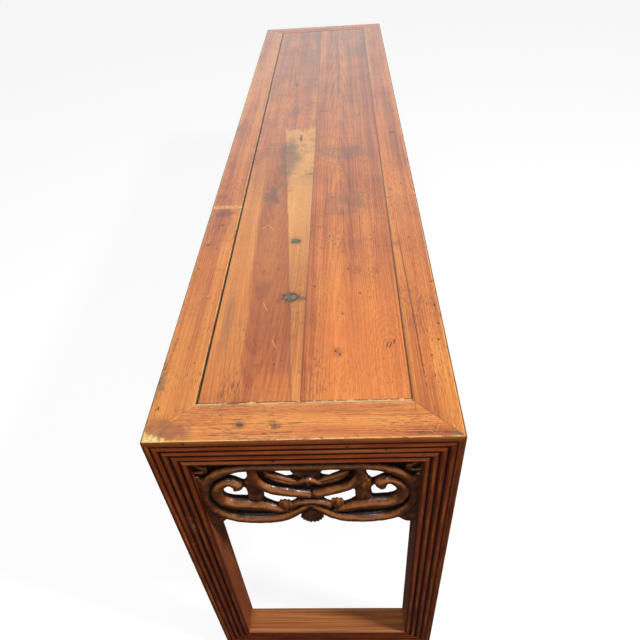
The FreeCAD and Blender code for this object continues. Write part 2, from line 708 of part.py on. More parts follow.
def motif_web(span, drop):
    """The recessed ground of one motif: its lobed lower edge and the gaps that show daylight."""
    edges = []
    for side in (RIGHT, LEFT):
        for shares in (SHELL_EDGE_SHARES, LOBE_EDGE_SHARES, BRACKET_EDGE_SHARES):
            edges.append(open_curve(scaled(shares, span, drop, side)).toShape())
    foot_down = BRACKET_EDGE_SHARES[-1][1]
    rim = scaled([(1, foot_down), (1, 0), (-1, 0), (-1, foot_down)], span, drop)
    edges += [Part.LineSegment(one, other).toShape() for one, other in zip(rim, rim[1:])]
    web = Part.Face(Part.Wire(Part.__sortEdges__(edges)))
    holes = [Part.Face(closed_outline(scaled(shares, span, drop, side)))
             for shares in GAP_SHARES for side in (RIGHT, LEFT)]
    return web.cut(holes).Faces


def motif_strands(span, drop):
    """The raised carving of one motif."""
    through_middle = ((BAR_SHARES, "bar_radius"), (ARCH_SHARES[::-1], "arch_radius"))
    halves = ((LOBE_SHARES, "lobe_radius"), (SCROLL_SHARES, "scroll_radius"),
              (TENDRIL_SHARES, "tendril_radius"), (LINK_SHARES, "link_radius"),
              (LEAF_SHARES, "link_radius"), (BUD_SHARES, "bud_radius"), (BRACKET_SHARES, "link_radius"))
    strands = []
    for shares, radius in through_middle:
        whole = [(-across, down) for across, down in shares[:0:-1]] + shares
        strands.append(ribbon(scaled(whole, span, drop), named(radius).number))
    for shares, radius in halves:
        for side in (RIGHT, LEFT):
            strands.append(ribbon(scaled(shares, span, drop, side), named(radius).number))
    return merged(strands)


def carved_motif(span):
    """One motif with half a stile at each side, its back on the XY plane, its top edge on the X axis."""
    drop = named("apron_drop").number
    ground = named("web_thickness").number
    relief = named("apron_thickness").number - ground
    stile = named("stile_width").number
    raised = motif_strands(span, drop)
    for low in (-span, span - stile):
        lowest = FreeCAD.Vector(low, -STILE_DROP.number, 0)
        raised.append(Part.makePlane(stile, STILE_DROP.number, lowest))
    below = drop * 2
    field = Part.makePlane(span * 2, below, FreeCAD.Vector(-span, -below, 0))
    raised = [face.common(field).Faces[0] for face in merged(raised)]
    whole = merged(motif_web(span, drop) + raised)
    to_ground = FreeCAD.Vector(0, 0, ground)
    to_crest = FreeCAD.Vector(0, 0, relief)
    lower = Part.makeCompound([face.extrude(to_ground) for face in whole])
    upper = [face.translated(to_ground).extrude(to_crest) for face in raised]
    return lower.multiFuse(upper).removeSplitter()


def make_apron(name, opening, motif_count, placement, tongues):
    """A carved board of one or more motifs side by side, with tongues on its top and both ends."""
    span = opening.number / (2 * motif_count)
    motif_shape = carved_motif(span)
    pieces = []
    for motif in range(motif_count):
        along = FreeCAD.Vector((2 * motif + 1 - motif_count) * span, 0, 0)
        carved = document.addObject("Part::Feature", f"{name}_motif_{motif + 1}")
        carved.Shape = motif_shape
        carved.Placement = placement.multiply(FreeCAD.Placement(along, FreeCAD.Rotation()))
        pieces.append(carved)
    for tongue, (corner, opposite) in enumerate(tongues, start=1):
        item = document.addObject("Part::Box", f"{name}_tongue_{tongue}")
        for axis, extent, one, other in zip("xyz", ("Length", "Width", "Height"), corner, opposite):
            low, high = (one, other) if one.number < other.number else (other, one)
            bind(item, "Placement.Base." + axis, low)
            bind(item, extent, high - low)
        pieces.append(item)
    joined = document.addObject("Part::MultiFuse", name + "_joined")
    joined.Shapes = pieces
    joined.Refine = True
    return keep(joined, name)


def axes_placement(base, across, upward, outward):
    """Where a motif drawn on the XY plane goes: its X, Y and Z axes turn to these three directions."""
    turn = FreeCAD.Matrix(across[0], upward[0], outward[0], base[0],
                          across[1], upward[1], outward[1], base[1],
                          across[2], upward[2], outward[2], base[2], 0, 0, 0, 1)
    return FreeCAD.Placement(turn)


def make_end_apron():
    front, back = APRON_TONGUE_START, APRON_TONGUE_END
    opening = HALF_WIDTH - LEG_SIDE
    foot = down_z(LEG_SIDE + STILE_DROP)
    tongues = [((end_x(front), -opening, down_z(LEG_SIDE)),
                (end_x(back), opening, down_z(LEG_SIDE - APRON_TONGUE)))]
    for side in (RIGHT, LEFT):
        tongues.append(((end_x(front), opening * side, foot),
                        (end_x(back), (opening + APRON_TONGUE) * side, down_z(LEG_SIDE))))
    base = (end_x(APRON_BACK).number, 0, down_z(LEG_SIDE).number)
    placement = axes_placement(base, (0, 1, 0), (0, 0, 1), (1, 0, 0))
    return make_apron("end_apron_near", opening * 2, 1, placement, tongues)


def make_long_apron():
    front, back = APRON_TONGUE_START, APRON_TONGUE_END
    opening = HALF_LENGTH - LEG_SIDE
    foot = down_z(LEG_SIDE + STILE_DROP)
    tongues = [((-opening, side_y(front), down_z(LEG_SIDE)),
                (opening, side_y(back), down_z(LEG_SIDE - APRON_TONGUE)))]
    for end in (NEAR, FAR):
        tongues.append(((opening * end, side_y(front), foot),
                        ((opening + APRON_TONGUE) * end, side_y(back), down_z(LEG_SIDE))))
    base = (0, side_y(APRON_BACK).number, down_z(LEG_SIDE).number)
    placement = axes_placement(base, (-1, 0, 0), (0, 0, 1), (0, 1, 0))
    motif_count = int(named("long_motif_count").number)
    return make_apron("long_apron_right", opening * 2, motif_count, placement, tongues)


# Pegs: through the corner tenons from below, and through the floor rails' tenons from inside.
def make_pegs(name, starts, length, turn):
    pegs = []
    for index, start in enumerate(starts, start=1):
        peg = document.addObject("Part::Cylinder", f"{name}_{index}")
        bind(peg, "Radius", named("peg_radius"))
        place_round(peg, start, length, turn)
        pegs.append(peg)
    group = document.addObject("Part::Compound", name + "_group")
    group.Links = pegs
    return keep(group, name)


CORNERS = [(end, side) for end in (NEAR, FAR) for side in (RIGHT, LEFT)]
ALONG, ACROSS = (1, 0, 0), (0, 1, 0)

long_member = make_long_member()
mirrored(long_member, "top_long_member_left", ACROSS)
end_member = make_end_member()
mirrored(end_member, "top_end_member_far", ALONG)
make_board(RIGHT, "right")
make_board(LEFT, "left")
for number in range(1, int(named("batten_count").number) + 1):
    make_batten(number)
leg = make_leg()
mirrored(leg, "leg_far_right", ALONG)
leg_left = mirrored(leg, "leg_near_left", ACROSS)
mirrored(leg_left, "leg_far_left", ALONG)
rail = make_floor_rail()
mirrored(rail, "floor_rail_far", ALONG)
foot = make_foot()
mirrored(foot, "foot_far_right", ALONG)
foot_left = mirrored(foot, "foot_near_left", ACROSS)
mirrored(foot_left, "foot_far_left", ALONG)
end_apron = make_end_apron()
mirrored(end_apron, "end_apron_far", ALONG)
long_apron = make_long_apron()
mirrored(long_apron, "long_apron_left", ACROSS)
make_pegs("frame_pegs", [frame_peg_start(end, side) for end, side in CORNERS], frame_peg_length(), UPRIGHT)
make_pegs("rail_pegs", [rail_peg_start(end, side) for end, side in CORNERS], rail_peg_length(), LEVEL)

document.recompute()
for item in document.Objects:
    if {"Invalid", "Error"} & set(item.State):
        raise RuntimeError(f"{item.Label} did not build: {item.State}")
for item in subparts:
    if item.Shape.isNull() or not item.Shape.isValid() or not item.Shape.Solids:
        raise RuntimeError(f"{item.Label} has no valid solid")

os.makedirs("parts", exist_ok=True)
for item in subparts:
    item.Shape.exportStep(f"parts/{item.Label}.step")
    print(item.Label, len(item.Shape.Solids), round(item.Shape.Volume))
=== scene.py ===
# %% [markdown]
# A Chinese altar table: a long narrow top on four legs, with pierced and carved boards under the top and a
# rail on the floor at each end. This lesson dresses the packed construction model in old, waxed wood.
# The construction model fixes every size and place, so it is loaded first and nothing in it is moved.

# %% Load the construction model
import math

import bmesh
import bpy
import numpy as np
from mathutils import Matrix, Vector


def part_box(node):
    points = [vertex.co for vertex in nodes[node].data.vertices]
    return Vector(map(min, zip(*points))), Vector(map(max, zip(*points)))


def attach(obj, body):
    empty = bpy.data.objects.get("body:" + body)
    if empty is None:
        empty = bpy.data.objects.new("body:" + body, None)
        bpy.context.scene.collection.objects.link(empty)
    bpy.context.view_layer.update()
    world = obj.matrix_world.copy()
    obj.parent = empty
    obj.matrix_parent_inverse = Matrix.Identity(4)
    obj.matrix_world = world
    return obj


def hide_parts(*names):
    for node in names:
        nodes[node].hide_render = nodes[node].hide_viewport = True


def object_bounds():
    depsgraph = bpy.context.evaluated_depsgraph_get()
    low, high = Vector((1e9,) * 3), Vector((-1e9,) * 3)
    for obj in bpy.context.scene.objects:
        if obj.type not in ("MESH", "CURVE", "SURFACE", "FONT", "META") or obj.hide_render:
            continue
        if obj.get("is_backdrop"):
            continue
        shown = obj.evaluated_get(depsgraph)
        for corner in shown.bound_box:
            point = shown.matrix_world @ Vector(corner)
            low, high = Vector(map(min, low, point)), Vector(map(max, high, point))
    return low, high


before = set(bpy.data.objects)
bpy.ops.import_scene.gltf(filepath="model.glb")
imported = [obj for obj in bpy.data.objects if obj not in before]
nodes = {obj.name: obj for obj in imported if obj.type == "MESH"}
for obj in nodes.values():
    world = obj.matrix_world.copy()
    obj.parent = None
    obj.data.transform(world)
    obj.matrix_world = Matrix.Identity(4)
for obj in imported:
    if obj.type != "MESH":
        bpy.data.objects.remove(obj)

MM = 0.001
low_corner, high_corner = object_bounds()
HALF_LENGTH, HALF_WIDTH, TOP = high_corner
print("half length, half width and height in metres:", HALF_LENGTH, HALF_WIDTH, TOP)

# %% [markdown]
# The other sizes are read off the nodes, so that the dressed pieces follow the model. The reeds are the
# one exception: their depth and the round of the outer arris are drawn inside the model's own section.

# %% Sizes read from the model
leg_low, leg_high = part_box("leg_near_right")
member_low, member_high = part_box("top_end_member_near")
rail_low, rail_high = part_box("floor_rail_near")
apron_low, apron_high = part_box("end_apron_near")
LEG_SIDE = leg_high.x - leg_low.x
LEG_FOOT = leg_low.z
MEMBER_WIDTH = member_high.x - member_low.x
RAIL_DEPTH = rail_high.x - rail_low.x
APRON_BACK = apron_low.x
APRON_THICKNESS = apron_high.x - apron_low.x
REED_COUNT = 5
REED_PITCH = LEG_SIDE / REED_COUNT
REED_DEPTH = 3 * MM
RAIL_LAP = 20 * MM
print("leg", LEG_SIDE, "member", MEMBER_WIDTH, "apron back", APRON_BACK, "thickness", APRON_THICKNESS)

# %% [markdown]
# The photograph was taken from just beyond the near end, looking steeply down. A camera was fitted to the
# table's corners and joints: its place, the way it looks and its focal length in pixels are kept here as
# real values, and the picture is square, 640 pixels on a side.

# %% Camera
CAMERA_PLACE = Vector((1571.2, 76.9, 1493.1)) * MM
LOOKS_ALONG = Vector((-0.74665, -0.05309, -0.66310))
UPWARD = Vector((-0.66495, 0.03097, 0.74625))
FOCAL_PIXELS = 567.87
IMAGE_PIXELS = 640
SENSOR_MM = 36
CLIP_METRES = (0.05, 60)


def placed(name, data):
    """A new object in the scene that shows this data."""
    made = bpy.data.objects.new(name, data)
    bpy.context.scene.collection.objects.link(made)
    return made


camera_data = bpy.data.cameras.new("camera")
camera_data.sensor_width = SENSOR_MM
camera_data.lens = FOCAL_PIXELS / IMAGE_PIXELS * SENSOR_MM
camera_data.clip_start, camera_data.clip_end = CLIP_METRES
camera = placed("camera", camera_data)
rightward = LOOKS_ALONG.cross(UPWARD).normalized()
turn = Matrix((rightward, rightward.cross(LOOKS_ALONG).normalized(), -LOOKS_ALONG.normalized())).transposed()
camera.matrix_world = Matrix.Translation(CAMERA_PLACE) @ turn.to_4x4()
bpy.context.scene.camera = camera
bpy.context.scene.view_settings.view_transform = "Standard"
print("lens in millimetres:", round(camera_data.lens, 2))

# %% [markdown]
# Node trees for shaders and for geometry are both written here as sums. A small class wraps a socket, and
# Python's own operators add the Math nodes, so that a line of code reads like the formula that it stands
# for. The same tree could be drawn by hand in the node editor, but it would be too wide to read.


# %% Sockets that take part in sums
class Signal:
    """One output of a node. Operators on it add Math nodes to the same tree."""

    def __init__(self, weave, socket):
        self.weave = weave
        self.socket = socket

    def other(self, name):
        """Another output of the same node."""
        return Signal(self.weave, self.socket.node.outputs[name])

    def maths(self, operation, *values):
        return self.weave.add("ShaderNodeMath", {"operation": operation}, *values)

    def __add__(self, value):
        return self.maths("ADD", self, value)

    def __radd__(self, value):
        return self.maths("ADD", value, self)

    def __sub__(self, value):
        return self.maths("SUBTRACT", self, value)

    def __rsub__(self, value):
        return self.maths("SUBTRACT", value, self)

    def __mul__(self, value):
        return self.maths("MULTIPLY", self, value)

    def __rmul__(self, value):
        return self.maths("MULTIPLY", value, self)

    def __truediv__(self, value):
        return self.maths("DIVIDE", self, value)

    def __abs__(self):
        return self.maths("ABSOLUTE", self)

    def least(self, value):
        return self.maths("MINIMUM", self, value)

    def most(self, *values):
        total = self
        for value in values:
            total = self.maths("MAXIMUM", total, value)
        return total

    def root(self):
        return self.maths("SQRT", self)

    def swing(self, size):
        """Noise from 0 to 1 turned into a change of up to half this size, down or up."""
        return (self - 0.5) * size

    def cycle(self):
        """The part after the decimal point."""
        return self.maths("FRACT", self)

    def rise(self, start, end):
        """0 before start, 1 past end and a smooth ramp between. It falls where end is less than start."""
        low, high = (start, end) if start < end else (end, start)
        low_value, high_value = (0, 1) if start < end else (1, 0)
        return self.weave.add("ShaderNodeMapRange", {"interpolation_type": "SMOOTHSTEP"},
                              self, low, high, low_value, high_value)


print("a socket can also give its:", [name for name in vars(Signal) if not name.startswith("_")])

# %% [markdown]
# Every other node comes from one method of a second class, which takes the node's type, its settings and
# its inputs. Most shading here is noise, which looks random but comes out the same each time, so a few
# short helpers make the noise, the mixing of colours and the vectors.


# %% The builder of node trees
class Weave:
    """Builds one node tree."""

    def __init__(self, tree):
        self.tree = tree

    def add(self, kind, settings, *values, **named):
        """Adds a node: its settings come first, then its inputs in order, then inputs by name."""
        node = self.tree.nodes.new(kind)
        for name, value in settings.items():
            if name == "stops":
                self.set_stops(node.color_ramp, value)
            else:
                setattr(node, name, value)
        places = dict(enumerate(values))
        places.update({name.replace("_", " "): value for name, value in named.items()})
        for place, value in places.items():
            self.connect(node, place, value)
        outputs = [socket for socket in node.outputs if socket.enabled]
        return Signal(self, outputs[0]) if outputs else node

    def connect(self, node, place, value):
        """Links a signal to an input, or sets the input where the value is a plain one."""
        if isinstance(value, Signal):
            self.tree.links.new(value.socket, node.inputs[place])
        else:
            node.inputs[place].default_value = value

    @staticmethod
    def set_stops(ramp, stops):
        while len(ramp.elements) < len(stops):
            ramp.elements.new(1)
        for element, (place, colour) in zip(ramp.elements, stops):
            element.position = place
            element.color = colour

    def vector(self, x, y, z):
        return self.add("ShaderNodeCombineXYZ", {}, x, y, z)

    def vectors(self, operation, *values, **named):
        return self.add("ShaderNodeVectorMath", {"operation": operation}, *values, **named)

    def named_value(self, name):
        """A number that the mesh keeps at each point, for a geometry tree."""
        return self.add("GeometryNodeInputNamedAttribute", {"data_type": "FLOAT"}, name)

    def blend(self, share, first, second):
        """Mixes two colours. The Mix node's colour sockets are its seventh and eighth."""
        node = self.tree.nodes.new("ShaderNodeMix")
        node.data_type = "RGBA"
        node.clamp_factor = True
        for place, value in ((0, share), (6, first), (7, second)):
            self.connect(node, place, value)
        return Signal(self, node.outputs[2])

    def cloud(self, place, detail=2, roughness=0.5):
        """Noise from 0 to 1 whose blobs are one unit of place wide."""
        return self.add("ShaderNodeTexNoise", {}, Vector=place, Scale=1, Detail=detail, Roughness=roughness)


def fresh(owner):
    """The builder for the node tree of a world or a material, emptied first."""
    owner.use_nodes = True
    owner.node_tree.nodes.clear()
    return Weave(owner.node_tree)


def srgb(red, green, blue):
    """A colour read off a screen, 0 to 255 each, as the linear colour that a shader takes."""
    def linear(value):
        share = value / 255
        return share / 12.92 if share <= 0.04045 else ((share + 0.055) / 1.055) ** 2.4
    return (linear(red), linear(green), linear(blue), 1)


print("a builder can add:", [name for name in vars(Weave) if not name.startswith("_")])
print("a mid brown in linear light:", [round(value, 3) for value in srgb(150, 90, 50)])

# %% [markdown]
# The floor and the light are those of a plain studio: a key panel high on the right, a wide soft one over
# the top, a weak one in front, and an even pale world. To the camera the world and the floor are white, as
# behind a cut-out photograph, and the floor only darkens where the table shades it.

# %% World, floor and lamps
WORLD_LIGHT = 0.16
SHEEN_BEHIND, SHEEN_IN_FRONT = 2.2, 0.08
FLOOR_GLOW = 0.88
FLOOR_TONE = 0.2
FLOOR_BOUNCE, FLOOR_SHEEN = 0.3, 0.04
FLOOR_SIDE = 30
LAMPS = {
    "key": ((1.7, 2.5, 3.4), (1.0, 0, 0.6), 0.4, 105),
    "overhead": ((0.3, -0.2, 3.0), (0.3, 0, 0.8), 1.6, 20),
    "front": ((1.95, -0.4, 3.0), (1.07, 0, 0.6), 0.5, 17),
}

world = bpy.data.worlds.new("studio")
bpy.context.scene.world = world
sky = fresh(world)
ray = sky.add("ShaderNodeLightPath", {})
direction = sky.add("ShaderNodeSeparateXYZ", {}, sky.add("ShaderNodeTexCoord", {}))
behind = direction.rise(-0.45, -0.97)
sheen = SHEEN_IN_FRONT + (SHEEN_BEHIND - SHEEN_IN_FRONT) * behind
is_glossy = ray.other("Is Glossy Ray")
others = WORLD_LIGHT + (sheen - WORLD_LIGHT) * is_glossy
strength = others + (1 - others) * ray.most(ray.other("Is Transmission Ray"))
glow = sky.add("ShaderNodeBackground", {}, Color=(1, 1, 1, 1), Strength=strength)
sky.add("ShaderNodeOutputWorld", {}, Surface=glow)

floor_material = bpy.data.materials.new("floor")
ground = fresh(floor_material)
floor_ray = ground.add("ShaderNodeLightPath", {})
paint = ground.add("ShaderNodeBsdfDiffuse", {}, Color=(FLOOR_TONE, FLOOR_TONE, FLOOR_TONE, 1))
shine = ground.add("ShaderNodeEmission", {}, Color=(1, 1, 1, 1), Strength=FLOOR_GLOW)
lit = ground.add("ShaderNodeAddShader", {}, paint, shine)
tone = FLOOR_BOUNCE + (FLOOR_SHEEN - FLOOR_BOUNCE) * floor_ray.other("Is Glossy Ray")
far_tone = ground.add("ShaderNodeCombineColor", {}, tone, tone, tone)
far_paint = ground.add("ShaderNodeBsdfDiffuse", {}, Color=far_tone)
both = ground.add("ShaderNodeMixShader", {}, floor_ray, far_paint, lit)
ground.add("ShaderNodeOutputMaterial", {}, Surface=both)

floor_mesh = bpy.data.meshes.new("floor")
half = FLOOR_SIDE / 2
corners = [(-half, -half, 0), (half, -half, 0), (half, half, 0), (-half, half, 0)]
floor_mesh.from_pydata(corners, [], [(0, 1, 2, 3)])
floor_mesh.materials.append(floor_material)
floor = placed("floor", floor_mesh)
floor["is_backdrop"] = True

for name, (place, aim, width, watts) in LAMPS.items():
    panel = bpy.data.lights.new(name, "AREA")
    panel.size = width
    panel.energy = watts
    facing = (Vector(aim) - Vector(place)).to_track_quat("-Z", "Y").to_matrix().to_4x4()
    placed(name, panel).matrix_world = Matrix.Translation(place) @ facing
print("lamps:", list(LAMPS))

# %% [markdown]
# Old altar tables like this one are made of elm or a like timber, stained, waxed and worn. One recipe serves
# all the sticks: long soft bands of tone, growth rings cut by the surface, short dark pores, and patina.
# Its coordinates are millimetres along the grain, across it and into the wood, read from the object's own
# place, and every object sits at the origin, so a pattern never slides.


# %% The wood recipe
GRAIN_AXES = {"x": ("X", "Y", "Z"), "y": ("Y", "X", "Z"), "z": ("Z", "Y", "X")}


class Timber:
    """The masks that a wood finish is mixed from, for a stick whose grain runs along one axis."""

    def __init__(self, name, grain, seed):
        self.material = bpy.data.materials.new(name)
        self.weave = fresh(self.material)
        place = self.weave.add("ShaderNodeTexCoord", {}).other("Object")
        spread = self.weave.add("ShaderNodeSeparateXYZ", {}, place)
        self.axes = {axis: spread.other(axis) * 1000 for axis in "XYZ"}
        self.x, self.y, self.z = (self.axes[axis] for axis in "XYZ")
        self.along, self.across, self.into = (self.axes[axis] for axis in GRAIN_AXES[grain])
        self.seed = seed

    def streaks(self, length, width, detail=2, roughness=0.5, salt=0):
        """Noise drawn out along the grain."""
        shift = 17.3 * self.seed + 5.1 * salt
        place = self.weave.vector(self.along / length + shift, self.across / width, self.into / width + shift)
        return self.weave.cloud(place, detail, roughness)

    def mottle(self, size, detail=3, roughness=0.6, salt=0):
        """Noise of the same size each way."""
        shift = 11.7 * self.seed + 3.9 * salt
        place = self.weave.vector(self.x / size + shift, self.y / size, self.z / size - shift)
        return self.weave.cloud(place, detail, roughness)

    def rings(self, heart_across, heart_below, pitch, tilt):
        """Growth rings round a heart under the stick: 0 in early wood, 1 in the thin late wood."""
        wander = self.streaks(520, 70, salt=1).swing(22)
        ripple = self.streaks(60, 9, salt=2).swing(2.4)
        sideways = self.across - heart_across + wander
        below = heart_below + self.along * tilt
        distance = (sideways * sideways + below * below).root() + ripple
        share = (distance / pitch).cycle()
        return share.rise(0.2, 0.85) * share.rise(1, 0.9)

    def within(self, value, low, high, soft):
        """1 between two values and 0 outside, with soft ends."""
        return value.rise(low - soft, low + soft) * value.rise(high + soft, high - soft)

    def spot(self, x, y, reach_x, reach_y, soft=0.35, rough=0.25):
        """1 inside an oval on the table top and 0 outside, with an uneven edge."""
        over_x, over_y = (self.x - x) / reach_x, (self.y - y) / reach_y
        edge = self.mottle((reach_x + reach_y) / 3, salt=x % 7).swing(rough * 4)
        return ((over_x * over_x + over_y * over_y).root() + edge).rise(1 + soft, 1 - soft)

    def scratch(self, start, end, width, breaks=0.0):
        """A thin line between two places on the table top. With breaks it comes and goes."""
        (x0, y0), (x1, y1) = start, end
        reach = math.hypot(x1 - x0, y1 - y0)
        ahead = ((x1 - x0) / reach, (y1 - y0) / reach)
        done = (self.x - x0) * ahead[0] + (self.y - y0) * ahead[1]
        aside = abs((self.y - y0) * ahead[0] - (self.x - x0) * ahead[1])
        line = aside.rise(width, width * 0.4) * self.within(done, 0, reach, 1)
        return line * self.mottle(12, 2, salt=x0 % 5).rise(breaks - 0.04, breaks + 0.04) if breaks else line

    def rubs(self, turn, length, width, salt):
        """Short straight marks on the table top, all turned by this angle: 1 on a mark and 0 elsewhere."""
        ahead = self.x * math.cos(turn) + self.y * math.sin(turn)
        aside = self.y * math.cos(turn) - self.x * math.sin(turn)
        place = self.weave.vector(ahead / length + salt * 7.7 + self.seed, aside / width, self.z / width)
        return self.weave.cloud(place, 1).rise(0.7, 0.76)

    def specks(self, spacing, size, share, salt):
        """Pits drawn out along the grain: at most one in each cell of a loose grid, in this share of them."""
        place = self.weave.vector(self.along / spacing / 1.5 + salt * 3.1 + self.seed, self.across / spacing,
                                  self.into / spacing)
        pit = self.weave.add("ShaderNodeTexVoronoi", {}, Vector=place, Scale=1)
        chance = self.weave.add("ShaderNodeSeparateColor", {}, pit.other("Color"))
        reach = size / spacing
        inside = (pit / (0.5 + chance.other("Green"))).rise(reach, reach * 0.6)
        return inside * chance.rise(1 - share, 1.01 - share)

    def pits_at(self, *places, reach=3.0):
        """Small uneven pits at these places on the table top."""
        first, *others = [self.spot(x, y, reach, reach * 0.7, 0.4, 1.1) for x, y in places]
        return first.most(*others)

    def attribute(self, name):
        return self.weave.add("ShaderNodeAttribute", {"attribute_name": name}).other("Fac")

    def ramp(self, value, *stops):
        return self.weave.add("ShaderNodeValToRGB", {"stops": stops}, value)

    def layers(self, colour, *coats):
        """Lays tints over a colour, the first one lowest. Each is (where and how strongly, its colour)."""
        for share, tint in coats:
            colour = self.weave.blend(share, colour, tint)
        return colour

    def finish(self, colour, roughness, height, coat=0.0, coat_roughness=0.3, specular=0.5):
        """Closes the material with colour, gloss and relief. height is in millimetres."""
        normal = self.weave.add("ShaderNodeBump", {}, Strength=1, Distance=MM, Height=height)
        shader = self.weave.add("ShaderNodeBsdfPrincipled", {}, Base_Color=colour, Roughness=roughness,
                                Normal=normal, Coat_Weight=coat, Coat_Roughness=coat_roughness,
                                Specular_IOR_Level=specular)
        self.weave.add("ShaderNodeOutputMaterial", {}, Surface=shader)
        return self.material


print("the grain runs along these axes:", {grain: axes[0] for grain, axes in GRAIN_AXES.items()})

# %% [markdown]
# The top is worn to a warm orange brown. Each board has its own heart, so its rings run in long arches or
# in almost straight lines, and broad bands of redder heartwood lie beside paler sapwood. Its fine dark
# pores are short dashes along the grain. All sides below the top's edge keep an older, darker coat.


# %% Top wood
TOP_DARK, TOP_RED = srgb(92, 38, 16), srgb(156, 76, 32)
TOP_ORANGE, TOP_GOLD = srgb(202, 116, 48), srgb(224, 154, 76)
WORN_PALE, GRIME_AND_SHADE = srgb(226, 180, 96), srgb(22, 8, 3)
COAT_DARK, COAT_MIDDLE, COAT_LIGHT = srgb(60, 16, 1), srgb(138, 50, 5), srgb(196, 110, 36)
PATINA_START = 0.9


def top_grain(wood, heart, tone_shift):
    """The colour and the relief of the worn top."""
    broad = wood.streaks(1100, 46, 2, salt=7)
    bands = wood.streaks(620, 11, 3, 0.55, salt=3)
    lines = wood.streaks(260, 1.3, 4, 0.65, salt=8)
    cloudy = wood.mottle(150, 3, salt=9)
    ring = wood.rings(*heart)
    tone = (0.51 + tone_shift + broad.swing(0.8) + bands.swing(0.42) + lines.swing(0.9) + cloudy.swing(0.4)
            - ring * 0.1)
    colour = wood.ramp(tone, (0.04, TOP_DARK), (0.3, TOP_RED), (0.55, TOP_ORANGE), (0.86, TOP_GOLD))
    used = wood.mottle(120, 2, salt=10).rise(0.36, 0.64)
    pores = wood.streaks(15, 1.0, 1, salt=4).rise(0.58, 0.66) * (0.4 + used * 0.6)
    greasy = wood.mottle(34, 5, 0.75, salt=12).rise(0.54, 0.72)
    pits = wood.specks(22, 1.9, 0.5, 1).most(wood.specks(9, 1.3, 0.3, 2) * used)
    dark_rubs = wood.rubs(0.5, 26, 1.4, 1).most(wood.rubs(-1.1, 18, 1.3, 2)) * (0.3 + used * 0.7)
    pale_rubs = wood.rubs(0.9, 30, 1.1, 3).most(wood.rubs(-0.4, 36, 1.2, 4)) * (0.25 + used * 0.75)
    pale = (pale_rubs * 0.6).most(wood.specks(16, 1.3, 0.3, 3) * 0.6)
    colour = wood.layers(colour, (pores * 0.85, TOP_DARK), (greasy * 0.4, TOP_DARK),
                         ((pits * 0.9).most(dark_rubs * 0.6), GRIME_AND_SHADE), (pale, WORN_PALE))
    return colour, lines.swing(0.3) - pores * 0.16 - ring * 0.04 - (pits + dark_rubs) * 0.3


def old_coat(wood, lift=0.0):
    """Colour and relief of the dark sides; painted shade in the grooves, painted highlights on crests."""
    bands = wood.streaks(380, 16, 3, salt=21)
    lines = wood.streaks(150, 1.9, 3, 0.6, salt=22)
    colour = wood.ramp(0.42 + lift + bands.swing(0.7) + lines.swing(0.5),
                       (0.1, COAT_DARK), (0.5, COAT_MIDDLE), (0.9, COAT_LIGHT))
    scuffs = wood.mottle(26, 4, 0.7, salt=23).rise(0.62, 0.74)
    groove = wood.attribute("groove") + wood.mottle(14, 3, salt=26).swing(0.25)
    crest = groove.rise(0.18, -0.05) * wood.streaks(60, 5, 3, salt=27).rise(0.3, 0.7)
    arris = wood.attribute("arris")
    worn = arris.rise(0.6, 0.95) * wood.mottle(18, 3, salt=24).rise(0.5, 0.62)
    pits = wood.specks(20, 1.8, 0.4, 5).most(wood.mottle(11, 4, 0.7, salt=28).rise(0.62, 0.7) * 0.6)
    # Paler crests are a painted highlight and the near-black grooves are painted shade.
    colour = wood.layers(colour, (scuffs * 0.35, COAT_LIGHT), (crest * 0.8, COAT_LIGHT),
                         (groove.rise(0.16, 0.8) * 0.94, GRIME_AND_SHADE), (arris.rise(0.1, 0.6) * 0.55, COAT_DARK),
                         (worn * 0.5, COAT_LIGHT), (pits * 0.8, GRIME_AND_SHADE))
    return colour, lines.swing(0.3) + wood.mottle(5, 2, salt=25).swing(0.2)


def joined_top_and_coat(wood, top, coat):
    """The top's colour down to just past its edge and the dark coat below, with a worn line between."""
    below = TOP / MM - wood.z
    is_coat = (below + wood.mottle(9, 2, salt=31).swing(1.1)).rise(PATINA_START - 0.5, PATINA_START + 0.7)
    edge = wood.within(below, 0.3, PATINA_START + 0.1, 0.3) * wood.mottle(22, 3, salt=32).rise(0.36, 0.5)
    colour = wood.layers(top[0], (is_coat, coat[0]), (edge * 0.75, WORN_PALE),
                         (below.rise(0.6, 1.6) * wood.attribute("inner"), GRIME_AND_SHADE))
    return colour, top[1] + (coat[1] - top[1]) * is_coat


def close_top(wood, colour, height):
    """The gloss of the waxed top. What lies deeper than the surface has no wax."""
    deep = (TOP / MM - wood.z).rise(0.6, 2)
    rough = 0.36 + wood.mottle(70, 3, salt=5) * 0.16 + wood.streaks(200, 5, salt=6) * 0.06 + deep * 0.3
    return wood.finish(colour, rough, height, coat=0.3 - deep * 0.3, coat_roughness=0.28, specular=0.35)


print("the dark coat starts", PATINA_START, "mm below the top")

# %% [markdown]
# The marks on the frame are put where the photograph shows them: yellow filler in the left mitre, the near
# left corner rubbed bare, chips along the joint of panel and end member, stains and knots. They could be
# painted on a picture and wrapped round the table, but as formulas they stay sharp however near the camera
# comes. Places are in millimetres on the table top. Each function lists its marks as layers, lowest first.

# %% Marks on the frame
corner_x, corner_y = HALF_LENGTH / MM, HALF_WIDTH / MM
inner_x, inner_y = corner_x - MEMBER_WIDTH / MM, corner_y - MEMBER_WIDTH / MM
BARE_WOOD = srgb(232, 204, 132)
KNOT_GREY, KNOT_BLUE, STAIN_GREY = srgb(84, 76, 54), srgb(52, 40, 44), srgb(96, 80, 72)
SOILED, SMOKY_RED = srgb(120, 62, 44), srgb(84, 50, 42)


